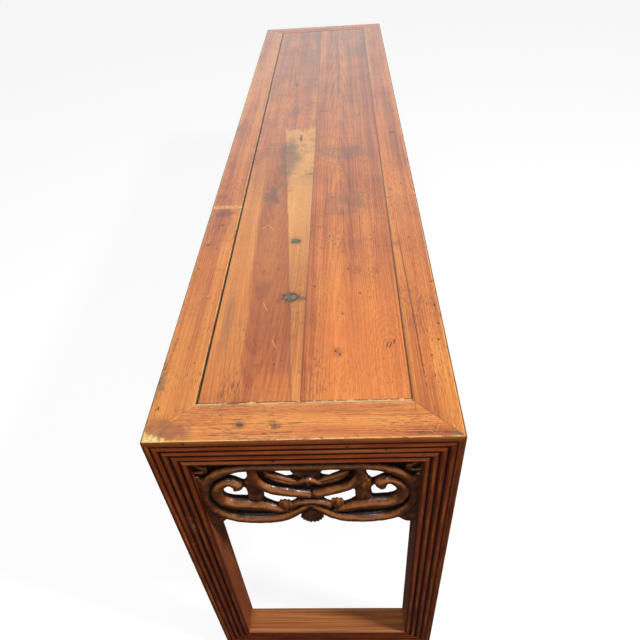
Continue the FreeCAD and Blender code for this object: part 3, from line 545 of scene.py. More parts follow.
def mitre_marks(wood):
    left = wood.scratch((corner_x, -corner_y), (inner_x, -inner_y), 1.2, 0.42)
    right = wood.scratch((corner_x, corner_y), (inner_x, inner_y), 1.1, 0.48)
    far = wood.scratch((-corner_x, -corner_y), (-inner_x, -inner_y), 1.2, 0.45).most(
        wood.scratch((-corner_x, corner_y), (-inner_x, inner_y), 1.2, 0.45))
    seam = abs((wood.x - inner_x) - (abs(wood.y) - inner_y)).rise(1.6, 0.4) * (1 - left) * wood.x.rise(0, 1)
    soiled = wood.spot(corner_x - 22, -corner_y + 40, 20, 34, 0.6, 0.8)
    bare = wood.spot(corner_x, -corner_y + 8, 16, 26, 0.3, 0.7)
    return [(left * 0.85, WORN_PALE), (right * 0.5, WORN_PALE), (far * 0.6, TOP_DARK), (seam * 0.6, GRIME_AND_SHADE),
            (soiled * 0.6, SOILED), (bare * 0.9, BARE_WOOD),
            (bare * wood.mottle(7, 3, salt=33).rise(0.5, 0.66) * 0.7, TOP_DARK)]


def near_member_marks(wood):
    dark_band = wood.within(wood.x, 1012, 1022, 7) * wood.within(wood.y, -150, 150, 40)
    dashes = wood.streaks(34, 1.7, 2, salt=42).rise(0.58, 0.66) * wood.mottle(60, 2, salt=34).rise(0.42, 0.56)
    worn_edge = wood.within(wood.x, 1070.2, 1076, 0.5) * wood.mottle(16, 3, salt=43).rise(0.5, 0.6)
    chips = wood.spot(1073, -195, 4, 36, 0.3, 0.5) + wood.within(wood.y, -240, 235, 4) * worn_edge
    ragged = wood.x - wood.mottle(11, 3, salt=48) * 3.4
    joint = wood.within(ragged, inner_x - 4, inner_x + 0.3, 0.4) * wood.mottle(26, 3, salt=44).rise(0.4, 0.46)
    strip_end = wood.scratch((1002, 194), (1027, 193), 1.1).most(wood.scratch((1002, 171), (1027, 171), 0.8))
    return [(dark_band * wood.streaks(260, 7, salt=41).rise(0.35, 0.6) * 0.55, TOP_RED),
            (wood.spot(1044, -94, 6, 9, 0.6) * 0.6, TOP_DARK),
            (wood.spot(1044, -93, 3, 5, 0.3) * 0.9, KNOT_BLUE),
            (wood.spot(1047, -40, 5, 7, 0.3, 1.2) * 0.6, GRIME_AND_SHADE),
            (wood.spot(1061, -55, 2.5, 5) * 0.6, TOP_DARK), (wood.spot(1067, 228, 4, 8) * 0.7, STAIN_GREY),
            (dashes * 0.6, GRIME_AND_SHADE), (chips.least(1) * 0.65, WORN_PALE),
            (joint * 0.9 * wood.within(wood.y, -166, 166, 1), BARE_WOOD), (strip_end * 0.6, TOP_DARK)]


def left_member_marks(wood):
    rubbed = wood.within(wood.y, -169.8, -168.4, 0.3) * wood.mottle(30, 3, salt=45).rise(0.44, 0.54)
    cracks = wood.scratch((900, -231), (960, -237), 1.3, 0.4).most(
        wood.scratch((850, -226), (905, -231), 1, 0.5))
    pits = wood.pits_at((483, -201), (-37, -233), (560, -222), (1010, -225), reach=4)
    smoky = wood.spot(470, -215, 90, 26, 0.6, 0.7).most(wood.spot(-60, -222, 60, 14, 0.6, 0.7))
    filler = wood.within(wood.x, 398, 412, 3) * wood.mottle(9, 2, salt=46).rise(0.35, 0.5)
    return [(wood.x.rise(560, 900) * 0.22, TOP_GOLD), (rubbed * 0.8, WORN_PALE),
            (wood.y.rise(-168.6, -168) * 0.9, GRIME_AND_SHADE),
            (wood.spot(955, -236, 26, 9, 0.5, 0.6) * 0.55, STAIN_GREY), (cracks * 0.85, GRIME_AND_SHADE),
            (pits * 0.8, GRIME_AND_SHADE),
            (smoky * wood.streaks(60, 7, 3, salt=49).rise(0.4, 0.6) * 0.6, SMOKY_RED),
            (filler * 0.6, WORN_PALE), (wood.spot(432, -205, 16, 22, 0.5) * 0.55, TOP_DARK)]


def right_member_marks(wood):
    strip = wood.within(wood.y, 168, 192, 1.5) * wood.x.rise(420, 700)
    pits = wood.pits_at((326, 209), (782, 230), (831, 230), (872, 225), (560, 205), reach=3)
    cracks = wood.scratch((-399, 200), (-376, 236), 1.6, 0.4).most(
        wood.scratch((560, 184), (980, 193), 1.1, 0.42), wood.y.rise(169.4, 168.6) * 0.9)
    return [(strip * wood.streaks(200, 5, 3, salt=50).rise(0.3, 0.6) * 0.45, TOP_RED),
            (wood.spot(31, 210, 5, 10, 0.2, 0.3) * 0.95, GRIME_AND_SHADE), (pits * 0.85, GRIME_AND_SHADE),
            (cracks * 0.8, GRIME_AND_SHADE)]


print("bare wood at the near left corner, in linear light:", [round(value, 3) for value in BARE_WOOD])

# %% [markdown]
# Each member of the frame has a finish of its own, because no two sticks are cut from the same part of a
# tree. A row gives the way its grain runs, a seed for the noise, where the heart of its rings lies with
# their pitch and slope, how much lighter it is than the others, and the marks found on it.


# %% Frame wood
def member_wood(name, grain, seed, heart, tone_shift, *marks):
    """A frame member: its top is worn and has its marks, and its sides keep the coat."""
    wood = Timber(name, grain, seed)
    colour, height = top_grain(wood, heart, tone_shift)
    for found in (*marks, mitre_marks):
        colour = wood.layers(colour, *found(wood))
    colour, height = joined_top_and_coat(wood, (colour, height), old_coat(wood, MEMBER_LIFT))
    return close_top(wood, colour, height)


MEMBER_LIFT = 0.12
MEMBERS = {
    "top_long_member_right": ("x", 1, (300, 60, 3.4, 0.02), 0.02, right_member_marks),
    "top_long_member_left": ("x", 2, (-330, 70, 3.4, -0.02), 0.05, left_member_marks),
    "top_end_member_near": ("y", 3, (1150, 40, 3.2, 0.03), 0.06, near_member_marks),
    "top_end_member_far": ("y", 4, (-1150, 50, 3.4, 0.02), 0.0),
}
FRAME_WOOD = {}
for name, row in MEMBERS.items():
    FRAME_WOOD[name] = member_wood("frame_wood_" + name.split("_")[-1], *row)
print("frame finishes:", [material.name for material in FRAME_WOOD.values()])

# %% [markdown]
# The panel is two boards, and both share two things. A knot is three ovals laid over each other: a shade,
# a dark outline and a speckled middle. And a board's edges hold dirt in the open joints, with small chips
# where the board meets the near member.


# %% Knots and edges of the panel
def knot(wood, x, y, reach_x, reach_y):
    """A knot: a speckled grey middle with a dark uneven outline and a soft shade round it."""
    inside = wood.spot(x, y, reach_x * 0.8, reach_y * 0.8, 0.2, 0.5) * 0.9
    return [(wood.spot(x, y, reach_x * 1.7, reach_y * 1.5, 0.6, 0.3) * 0.36, TOP_DARK),
            (wood.spot(x, y, reach_x * 1.1, reach_y * 1.1, 0.2, 0.4) * 0.9, GRIME_AND_SHADE), (inside, KNOT_GREY),
            (inside * wood.mottle(3.5, 2, salt=57).rise(0.5, 0.62) * 0.5, srgb(170, 160, 120))]


def board_edges(wood):
    """Grime on all that lies below the surface, and chips where the panel meets the near member."""
    chips = wood.within(wood.x, inner_x - 2.2, inner_x + 1, 0.6)
    chips = chips * wood.mottle(13, 3, salt=51).rise(0.52, 0.58)
    dirty = wood.y.rise(-162.6, -164.2).most(
        wood.within(wood.y, -4.6, -3.4, 0.5) * 0.5, wood.y.rise(165.6, 167) * 0.6,
        wood.x.rise(-1000.5, -1001.6) * 0.6)
    cheek = (TOP / MM - wood.z).rise(0.5, 1.3) * (wood.z - (TOP / MM - 12)).rise(0, 1)
    return [(wood.within(wood.x, inner_x - 2.6, inner_x, 0.5) * 0.5, GRIME_AND_SHADE), (chips * 0.8, BARE_WOOD),
            (dirty * 0.85, GRIME_AND_SHADE), (cheek, GRIME_AND_SHADE)]


print("the panel meets the near member at", round(inner_x, 1), "mm")

# %% [markdown]
# The left board has a dark red middle between an orange outer strip and a tapering stripe of sapwood beside
# the seam. The borders of the stripes are slanting straight lines that a little noise along the grain makes
# ragged. Old water stains, nicks and two knots lie over them.


# %% Left board
def left_board():
    wood = Timber("panel_wood_left", "x", 5)
    colour, height = top_grain(wood, (-86, 34, 3.6, 0.05), -0.03)
    ragged = wood.streaks(260, 9, 3, salt=52).swing(9)
    from_left = wood.y + ragged - (wood.x - 50) * 0.04 + 138
    from_right = wood.y + ragged - (wood.x - 33) * 0.0727 + 88
    heart = from_left.rise(-8, 6) * from_right.rise(2, -2) * wood.x.rise(-150, 150)
    dark_rim = from_right.rise(-4, 0) * from_right.rise(4, 0) * wood.x.rise(300, 700)
    golden = from_left.rise(6, -10) * wood.x.rise(120, 420) * wood.x.rise(1160, 700)
    by_gap = wood.within(wood.y, -152, -136, 5) * wood.within(wood.x, 740, 880, 40)
    torn = wood.x + wood.streaks(900, 3, 2, 0.7, salt=54).swing(70)
    sapwood = from_right.rise(-2, 3) * torn.rise(-24, -8) * wood.y.rise(-1, -4)
    smoky = wood.mottle(60, 4, 0.7, salt=53).rise(0.46, 0.66) * wood.x.rise(520, 60)
    watery = wood.spot(170, -70, 120, 20, 0.7, 0.7).most(wood.spot(362, -99, 46, 14, 0.5, 0.9))
    streaky = wood.spot(-520, -38, 200, 26, 0.6, 0.8) * wood.streaks(80, 4, 3, salt=58).rise(0.4, 0.6)
    nicks = wood.pits_at((705, -3), (663, -92), (120, -40), (180, -48), (245, -24), (255, -50), reach=2.6)
    bruise = wood.spot(972, -112, 40, 20, 0.6, 0.8) * wood.streaks(16, 2.2, 2, salt=66).rise(0.52, 0.6)
    bruise = bruise.most(wood.spot(712, -88, 16, 14, 0.6, 0.8) * 0.5)
    curls = wood.scratch((505, -112), (490, -98), 1).most(
        wood.scratch((490, -98), (512, -84), 1), wood.scratch((760, -84), (785, -74), 0.9),
        wood.scratch((860, -60), (880, -52), 0.9))
    slots = wood.spot(44, -45, 22, 3.4, 0.2, 0.3).most(wood.spot(-385, -78, 20, 5, 0.3, 0.5) * 0.8)
    found = [(heart * wood.x.rise(1010, 840) * 0.5, srgb(132, 62, 36)), (dark_rim * 0.4, TOP_DARK),
             (golden * 0.4, TOP_GOLD), (by_gap * wood.streaks(70, 6, 3, salt=55) * 0.7, srgb(110, 74, 52)),
             (sapwood * (wood.x.rise(760, 420) * 0.36 + 0.14), srgb(224, 172, 100)),
             (smoky * 0.42, srgb(96, 58, 44)), (watery * 0.7, srgb(92, 62, 36)),
             (streaky * 0.5, srgb(120, 92, 62)), (wood.spot(-914, -22, 70, 15, 0.4, 0.4) * 0.6, STAIN_GREY),
             (wood.spot(257, -13, 5, 10, 0.3, 0.6) * 0.7, srgb(92, 96, 60)),
             (nicks.most(bruise * 0.7) * 0.75, GRIME_AND_SHADE), (curls * 0.6, WORN_PALE),
             *knot(wood, 558, -33, 9, 9), *knot(wood, 746, -33, 11, 15),
             (wood.spot(751, -9, 6, 9, 0.4, 0.8) * 0.8, KNOT_GREY), (slots * 0.9, GRIME_AND_SHADE)]
    return close_top(wood, wood.layers(colour, *found, *board_edges(wood)), height)


PANEL_WOOD = {"top_board_left": left_board()}
print("masks and colours in the left board:", len(PANEL_WOOD["top_board_left"].node_tree.nodes), "nodes")

# %% [markdown]
# The right board is bright orange towards the near end, with faint arches where the saw cut across the
# rings. An almost square dull patch looks as if a box had stood there. Dots and scratches complete it.


# %% Right board
def right_board():
    wood = Timber("panel_wood_right", "x", 6)
    colour, height = top_grain(wood, (62, 62, 3.8, -0.03), 0.0)
    bright = wood.x.rise(560, 900) * wood.y.rise(15, 50)
    box_stood = wood.within(wood.x, 355, 460, 6) * wood.within(wood.y, 30, 119, 4) * wood.mottle(
        40, 4, 0.7, salt=56).rise(0.3, 0.6)
    dull = wood.mottle(70, 4, 0.7, salt=59).rise(0.46, 0.66) * wood.x.rise(420, -100)
    stains = wood.spot(140, 66, 42, 58, 0.5, 0.9).most(box_stood * 0.9, dull * 0.5)
    ahead, aside = (wood.x - 905) / 3, wood.y - 142
    around = (ahead * ahead + aside * aside).root()
    wavy = around + wood.mottle(40, 2, salt=68).swing(12)
    arches = (wavy / 5).cycle().rise(0.4, 0.9) * around.rise(46, 28)
    dots = wood.pits_at((663, 76), (740, 97), (798, 64), (716, 11), (-16, 102), (302, 144), (901, 58),
                        (893, 51), reach=2.8)
    strokes = wood.scratch((890, 141), (874, 146), 1.5).most(
        wood.scratch((886, 137), (872, 141), 1.4), wood.scratch((880, 149), (868, 152), 1.6))
    found = [(bright * 0.42, srgb(232, 132, 58)),
             (stains * wood.streaks(50, 3, 3, salt=67).rise(0.2, 0.6) * 0.6, srgb(92, 66, 48)),
             (arches * wood.x.rise(930, 890) * 0.3, TOP_RED),
             (wood.pits_at((669, 93), (669, 128), reach=12) * 0.35, TOP_DARK),
             (dots.most(wood.spot(-144, 21, 4, 22, 0.3, 0.6) * 0.6, strokes) * 0.85, GRIME_AND_SHADE),
             (wood.spot(896, 54, 12, 8, 0.6, 0.5) * 0.4, TOP_DARK),
             (wood.scratch((560, 156), (1002, 165), 1.1, 0.4) * 0.35, TOP_DARK)]
    return close_top(wood, wood.layers(colour, *found, *board_edges(wood)), height)


PANEL_WOOD["top_board_right"] = right_board()
print("panel finishes:", [material.name for material in PANEL_WOOD.values()])

# %% [markdown]
# Legs and floor rails keep the dark coat all over. The left leg has an old scar with bare spots, the legs'
# inner faces are paler low down, a painted light, and the right legs' inner faces greyer, a painted
# reflection, and the floor rail's top is worn by feet to a golden brown. Battens, feet and pegs are hidden
# or stand in the wet, so they are raw, dusty wood.

# %% Leg, rail, batten, foot and peg wood
LEG_INSIDE = (HALF_WIDTH - LEG_SIDE) / MM
RAIL_TOP = rail_high.z / MM


def leg_marks(wood):
    inside = wood.within(wood.y, -LEG_INSIDE - 0.6, LEG_INSIDE + 0.6, 0.4)
    # Inner faces paler low down: a painted light. Right legs' inner faces greyer: a painted reflection.
    lower = (wood.z + wood.mottle(90, salt=61).swing(120)).rise(660, 420)
    scar = wood.within(wood.y, -216, -204, 2.5) * wood.within(wood.z, 560, 612, 8)
    return [(inside * lower * 0.5, srgb(150, 82, 56)),
            (inside * wood.y.rise(-1, 1) * 0.3, srgb(124, 104, 96)),
            (scar * wood.mottle(7, 3, salt=62).rise(0.44, 0.56) * 0.55, srgb(168, 112, 54))]


def rail_marks(wood):
    top = wood.ramp(wood.streaks(240, 3, 3, salt=63),
                    (0.3, srgb(138, 74, 32)), (0.5, srgb(176, 104, 52)), (0.7, srgb(196, 126, 68)))
    return [((wood.z - RAIL_TOP).rise(-2.4, -0.4), top)]


def coated_wood(name, grain, seed, marks):
    """The dark coat all over, with the marks that are found on it."""
    wood = Timber(name, grain, seed)
    colour, height = old_coat(wood)
    rough = 0.4 + wood.mottle(40, 3, salt=5) * 0.16
    return wood.finish(wood.layers(colour, *marks(wood)), rough, height, specular=0.4)


def raw_wood(name, grain, seed, dark, light):
    """Unfinished wood: rough, dusty and without a coat."""
    wood = Timber(name, grain, seed)
    tone = wood.streaks(300, 14, 3, salt=71) * 0.6 + wood.streaks(120, 2, 2, salt=72) * 0.4
    colour = wood.ramp(tone - wood.rings(0, 60, 6, 0.02) * 0.1, (0.3, dark), (0.7, light))
    return wood.finish(colour, 0.7 + wood.mottle(30, salt=73) * 0.15, wood.streaks(60, 2, salt=74).swing(0.5))


LEG_WOOD = coated_wood("leg_wood", "z", 7, leg_marks)
RAIL_WOOD = coated_wood("rail_wood", "y", 8, rail_marks)
FOOT_WOOD = raw_wood("foot_wood", "z", 9, srgb(52, 24, 12), srgb(104, 58, 34))
INNER_WOOD = raw_wood("inner_wood", "y", 10, srgb(104, 66, 38), srgb(160, 112, 70))
PEG_WOOD = raw_wood("peg_wood", "z", 11, srgb(150, 104, 62), srgb(196, 150, 100))
print("other finishes:", [wood.name for wood in (LEG_WOOD, RAIL_WOOD, FOOT_WOOD, INNER_WOOD, PEG_WOOD)])

# %% [markdown]
# The frame's members, the legs and the floor rails are all made alike on the real table: a straight stick
# is planed to one section, reeds and all, and its ends are then sawn off at a slant to meet the next
# stick in a mitre. The same is done here. The section is a closed loop of points, and each point also says
# how far short of the stick's end it stops. First come the helpers that every geometry tree here needs.


# %% Helpers for geometry trees
def new_tree(name, sockets):
    """A geometry node tree with named inputs, and the builder for it."""
    tree = bpy.data.node_groups.new(name, "GeometryNodeTree")
    tree.interface.new_socket("Geometry", in_out="INPUT", socket_type="NodeSocketGeometry")
    for label, kind, value in sockets:
        socket = tree.interface.new_socket(label, in_out="INPUT", socket_type="NodeSocket" + kind)
        if value is not None:
            socket.default_value = value
    tree.interface.new_socket("Geometry", in_out="OUTPUT", socket_type="NodeSocketGeometry")
    weave = Weave(tree)
    return tree, weave, weave.add("NodeGroupInput", {})


def close_tree(weave, inputs, geometry):
    """Ends a tree: instances become real, and the material is set."""
    real = weave.add("GeometryNodeRealizeInstances", {}, geometry)
    made = weave.add("GeometryNodeSetMaterial", {}, real, Material=inputs.other("Material"))
    weave.add("NodeGroupOutput", {}, made)


def as_seen(obj):
    """The object's mesh as its modifiers leave it. The object itself is removed."""
    bpy.context.view_layer.update()
    mesh = bpy.data.meshes.new_from_object(obj.evaluated_get(bpy.context.evaluated_depsgraph_get()))
    bpy.data.objects.remove(obj)
    return mesh


def baked(mesh, tree, values):
    """Runs a tree on a mesh with these inputs and returns the result as a plain mesh."""
    blank = placed("blank", mesh)
    modifier = blank.modifiers.new("tree", "NODES")
    modifier.node_group = tree
    for item in tree.interface.items_tree:
        if item.item_type == "SOCKET" and item.in_out == "INPUT" and item.name in values:
            modifier[item.identifier] = values[item.name]
    return as_seen(blank)


print("helpers:", [helper.__name__ for helper in (new_tree, close_tree, as_seen, baked)])

# %% [markdown]
# Geometry Nodes draw the section's loop along a line, pull each point back by its setback, and let the
# surface wander a little as hand-planed wood does. The outer arris also gets small dents. A plain extrusion
# would give the same stick, but perfectly straight, and light would run along it like along plastic.

# %% One tree of nodes for every reeded stick
WANDER_LENGTH, WANDER_WIDTH = 0.11, 0.02
CHIP_LENGTH, CHIP_WIDTH = 0.012, 0.01
stick_tree, sticks, stick_in = new_tree("reeded_stick", [
    ("Length", "Float", 1.0), ("Stations", "Int", 100), ("Wander", "Float", 0.3 * MM),
    ("Dents", "Float", 0.5 * MM), ("Seed", "Float", 1.0), ("Material", "Material", None)])
length, wander, seed = (stick_in.other(name) for name in ("Length", "Wander", "Seed"))
line = sticks.add("GeometryNodeCurvePrimitiveLine", {}, End=sticks.vector(length, 0, 0))
line = sticks.add("GeometryNodeResampleCurve", {}, line, Count=stick_in.other("Stations"))
line = sticks.add("GeometryNodeSetCurveNormal", {"mode": "Z_UP"}, line)
section_loop = sticks.add("GeometryNodeMeshToCurve", {}, stick_in)
swept = sticks.add("GeometryNodeCurveToMesh", {}, line, section_loop, Fill_Caps=True)
spread = sticks.add("ShaderNodeSeparateXYZ", {}, sticks.add("GeometryNodeInputPosition", {}))
start, end, arris = (sticks.named_value(name) for name in ("start_setback", "end_setback", "arris"))
x, y, z = start + spread / length * (length - start - end), spread.other("Y"), spread.other("Z")
slow = sticks.vector(x / WANDER_LENGTH + seed, y / WANDER_WIDTH, z / WANDER_WIDTH)
drift = sticks.add("ShaderNodeTexNoise", {}, Vector=slow, Scale=1, Detail=1).other("Color")
drift = sticks.vectors("SUBTRACT", drift, (0.5, 0.5, 0.5))
drift = sticks.vectors("MULTIPLY", drift, sticks.vector(0, wander, wander))
chip_noise = sticks.cloud(sticks.vector(x / CHIP_LENGTH - seed, y / CHIP_WIDTH, z / CHIP_WIDTH))
chip = chip_noise.rise(0.52, 0.72) * arris * stick_in.other("Dents")
inward = sticks.vectors("SCALE", sticks.add("GeometryNodeInputNormal", {}), Scale=chip * -1)
moved = sticks.vectors("ADD", sticks.vectors("ADD", sticks.vector(x, y, z), drift), inward)
shaped = sticks.add("GeometryNodeSetPosition", {}, swept, Position=moved)
close_tree(sticks, stick_in, sticks.add("GeometryNodeSetShadeSmooth", {}, shaped))
print("reeded_stick has", len(stick_tree.nodes), "nodes")

# %% [markdown]
# A reeded face is five shallow arcs side by side. The outermost one also rounds the arris, so its centre
# lies one radius in from both faces.

# %% The section of a reeded face
FACE_STEPS = 8
ARRIS_RADIUS = REED_PITCH + REED_DEPTH - math.sqrt(2 * REED_PITCH * REED_DEPTH)
REED_RADIUS = (REED_PITCH ** 2 / 4 + REED_DEPTH ** 2) / (2 * REED_DEPTH)


def behind_face(across):
    """How deep the surface lies behind the face, this far in from the arris."""
    if across < REED_PITCH:
        return ARRIS_RADIUS - math.sqrt(max(ARRIS_RADIUS ** 2 - (across - ARRIS_RADIUS) ** 2, 0))
    from_crest = across % REED_PITCH - REED_PITCH / 2
    return REED_RADIUS - math.sqrt(REED_RADIUS ** 2 - from_crest ** 2)


def face_run():
    """Places along a reeded face from the arris inwards, as (across, behind)."""
    turns = [math.pi / 2 * step / FACE_STEPS for step in range(FACE_STEPS, -1, -1)]
    run = [(ARRIS_RADIUS * (1 - math.sin(turn)), ARRIS_RADIUS * (1 - math.cos(turn))) for turn in turns]
    steps = (REED_COUNT - 1) * FACE_STEPS + FACE_STEPS // 2
    for step in range(1, steps + 1):
        across = ARRIS_RADIUS + (LEG_SIDE - ARRIS_RADIUS) * step / steps
        run.append((across, behind_face(min(across, LEG_SIDE - 1e-6))))
    return run


face_points = face_run()
print("points in a face:", len(face_points), "arris radius in mm:", round(ARRIS_RADIUS / MM, 2))

# %% [markdown]
# With the face drawn, each kind of stick needs only its own section, its setbacks and its place. A section
# could be drawn by hand as a curve, but worked out from the face it stays true if a size changes. Each
# point also keeps how deep in a groove it lies, for the painted shade in the grooves and the painted
# highlight on the crests, and where the arris wears, for the finish to read.

# %% Make one stick
SEAM = 0.12 * MM
STATION_SPACING = 6 * MM
ENDS = {"near": 1, "far": -1}
SIDES = {"right": 1, "left": -1}
DOWN, UP = (0, 0, -1), (0, 0, 1)
dressed = {}


def keep(mesh, name, values):
    """Stores one number at each point of the mesh."""
    mesh.attributes.new(name, "FLOAT", "POINT").data.foreach_set("value", np.array(values, np.float32))


def arris_share(second, third):
    """1 on the outer arris and 0 a few millimetres from it."""
    return max(0, 1 - (second + third) / (1.6 * ARRIS_RADIUS))


def groove_share(second, third):
    """1 at the bottom of a groove, 0 on a crest or on a flat face."""
    behind = min(second, third)
    in_groove = behind < REED_DEPTH * 1.2 and second + third > 2 * ARRIS_RADIUS
    return min(behind / REED_DEPTH, 1) if in_groove else 0


def add_piece(name, mesh):
    """Puts a finished mesh into the scene in the place of the model's node of that name."""
    mesh.name = name + "_dressed"
    piece = placed(name + "_dressed", mesh)
    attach(piece, "root")
    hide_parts(name)
    dressed[name] = piece


def stick(name, section, length, place, material, seed):
    """Makes one stick. Each section point is (second, third, start setback, end setback): its places
    along the stick's second and third axes, and how far it stops short of each end. place gives where
    the stick's end lies and which ways its three axes point."""
    mesh = bpy.data.meshes.new(name + "_section")
    count = len(section)
    mesh.from_pydata([(second, third, 0) for second, third, _, _ in section],
                     [(index, (index + 1) % count) for index in range(count)], [])
    keep(mesh, "start_setback", [start + SEAM for _, _, start, _ in section])
    keep(mesh, "end_setback", [end + SEAM for _, _, _, end in section])
    keep(mesh, "arris", [arris_share(second, third) for second, third, _, _ in section])
    keep(mesh, "groove", [groove_share(second, third) for second, third, _, _ in section])
    keep(mesh, "inner", [float(second > MEMBER_WIDTH - MM) for second, _, _, _ in section])
    made = baked(mesh, stick_tree, {"Length": length, "Stations": round(length / STATION_SPACING),
                                    "Seed": float(seed), "Material": material})
    origin, along, second, third = place
    axes = Matrix((along, [-value for value in second], [-value for value in third])).transposed()
    made.transform(Matrix.Translation(origin) @ axes.to_4x4())
    if axes.determinant() < 0:
        made.flip_normals()
    add_piece(name, made)


def corner(end, side, height):
    return Vector((end * HALF_LENGTH, side * HALF_WIDTH, height))


def flat_run(start, *stops):
    """Points from start to each stop in turn, without the first. A stop is (its place, steps to it)."""
    run = []
    for end, steps in stops:
        run += [tuple(a + (b - a) * step / steps for a, b in zip(start, end)) for step in range(1, steps + 1)]
        start = end
    return run


print("sticks start and end", SEAM / MM, "mm short of each joint's plane")

# %% [markdown]
# The four members of the top frame share one section: reeds outside, a flat inner side and a flat top. They
# meet in mitres, so a point stops as far short of the end as it lies behind the outer face. At the
# three-way joint with the leg it also stops as far as it lies below the top, whichever is more.

# %% Frame members
outline = [(behind, across) for across, behind in face_points]
outline += flat_run(outline[-1], ((MEMBER_WIDTH, LEG_SIDE), 4), ((MEMBER_WIDTH, 0), 4),
                    ((ARRIS_RADIUS, 0), 8))
section = [(inward, down, max(inward, down), max(inward, down)) for inward, down in outline[:-1]]
for number, (word, sign) in enumerate(SIDES.items()):
    name = "top_long_member_" + word
    place = (corner(1, sign, TOP), (-1, 0, 0), (0, -sign, 0), DOWN)
    stick(name, section, 2 * HALF_LENGTH, place, FRAME_WOOD[name], 3 + number)
for number, (word, sign) in enumerate(ENDS.items()):
    name = "top_end_member_" + word
    place = (corner(sign, 1, TOP), (0, -1, 0), (-sign, 0, 0), DOWN)
    stick(name, section, 2 * HALF_WIDTH, place, FRAME_WOOD[name], 7 + number)
print("frame members:", list(dressed))

# %% [markdown]
# A leg is reeded on its two outer faces and flat on the two inner ones. Its crown is cut back on both outer
# faces to close the three-way mitre, and its foot is cut back where the floor rail laps over it. One section
# serves all four legs, because each stick says which way its own axes point, so a mirrored leg costs nothing.

# %% Legs
outline = [(behind, across) for across, behind in reversed(face_points)]
outline += [(across, behind) for across, behind in face_points[FACE_STEPS + 1:]]
outline += flat_run(outline[-1], ((LEG_SIDE, LEG_SIDE), 6), ((RAIL_LAP + SEAM, LEG_SIDE), 5))
outline += flat_run((RAIL_LAP, LEG_SIDE), ((REED_DEPTH, LEG_SIDE), 3))[:-1]
section = [(a, b, max(a, b), b if a <= RAIL_LAP else 0) for a, b in outline]
seed = 11
for end_word, end in ENDS.items():
    for side_word, side in SIDES.items():
        place = (corner(end, side, TOP), DOWN, (-end, 0, 0), (0, -side, 0))
        stick(f"leg_{end_word}_{side_word}", section, TOP - LEG_FOOT, place, LEG_WOOD, seed)
        seed += 1
print("points in a leg's section:", len(section))

# %% [markdown]
# A floor rail has reeds on its outer face only. Its front lap runs out over the legs' faces in a mitre, and
# behind the lap the rail ends against the legs' inner sides, so its points have one of two setbacks.

# %% Floor rails
outline = [(behind, across) for across, behind in face_points]
outline += flat_run(outline[-1], ((RAIL_LAP, LEG_SIDE), 3))
outline += flat_run((RAIL_LAP + SEAM, LEG_SIDE), ((RAIL_DEPTH, LEG_SIDE), 4), ((RAIL_DEPTH, 0), 4),
                    ((RAIL_LAP + SEAM, 0), 4))
outline += flat_run((RAIL_LAP, 0), ((ARRIS_RADIUS, 0), 3))[:-1]
section = [(a, e, *[e if a <= RAIL_LAP else LEG_SIDE] * 2) for a, e in outline]
for number, (word, sign) in enumerate(ENDS.items()):
    place = (corner(sign, 1, LEG_FOOT), (0, -1, 0), (-sign, 0, 0), UP)
    stick("floor_rail_" + word, section, 2 * HALF_WIDTH, place, RAIL_WOOD, 17 + number)
print("sticks:", {name: len(piece.data.polygons) for name, piece in dressed.items()})

# %% [markdown]
# The carving under the top is one board, sawn through for daylight and then carved in rounded strands:
# a bar that turns down into two lobes, a scroll and a tendril in each half, leaves between them, and a
# fluted shell in the middle. A strand is a line of balls: each point says how far across the board it
# is, how far below the top, how far in front of the board's back, and how thick, all in millimetres.

# %% The strands of the left half
RING = [(0, 81, 12, 8.6), (-60, 81, 12, 8.6), (-100, 82.5, 12, 8.6), (-125, 89, 12, 9),
        (-143, 100, 11.5, 9.3), (-156, 113, 11, 9.3), (-166, 130, 11, 9.3), (-171, 148, 11, 9.2),
        (-173, 168, 11, 9), (-171, 187, 11, 9), (-164, 205, 11, 9), (-151, 221, 10.5, 9.5),
        (-134, 231.5, 10.5, 10), (-115, 237, 10.5, 10), (-95, 239, 10.5, 10), (-75, 238.5, 10.5, 10),
        (-55, 235, 10.5, 10), (-38, 227.5, 10.5, 9.5), (-25, 217, 10.5, 9), (-13, 206, 10.5, 8),
        (-4, 199, 10, 6.5)]
SCROLL = [(-121, 148, 11, 4), (-117, 141, 11, 8), (-115, 132.5, 11, 10.5), (-127, 124.5, 11, 8.6),
          (-140, 129.5, 11, 9.2), (-149, 142, 11, 10.6), (-152, 155, 11, 11.2), (-150, 169, 11, 11.3),
          (-143, 180, 10.5, 11.6), (-131, 187.5, 10, 12.2), (-115, 190.5, 9.6, 12.6), (-98, 192.5, 9.6, 12.4),
          (-82, 195.5, 10, 11.4), (-68, 200, 11, 10), (-57, 205, 12, 8.2), (-47, 209.5, 12, 6.4),
          (-38, 213, 12, 4)]
TENDRIL = [(-85, 86, 12, 8.8), (-86, 102, 12, 9.4), (-84, 116, 12, 9.8), (-76, 131, 12, 10.2),
           (-62, 142, 12, 10.6), (-45, 149, 12, 10.6), (-28, 154.5, 11.5, 10), (-12, 160, 11, 9),
           (1, 164, 10.5, 8)]
LINK = [(-91, 118, 9, 7.5), (-88, 132, 9, 9), (-87, 148, 8, 9.8), (-86, 164, 7, 10), (-86, 176, 5.5, 9.6),
        (-87, 187, 3, 8)]
WEB = [(-97, 128, 8, 6.5), (-96, 142, 8, 8), (-94, 158, 7, 9), (-95, 174, 5.5, 9.6), (-96, 187, 3, 8)]
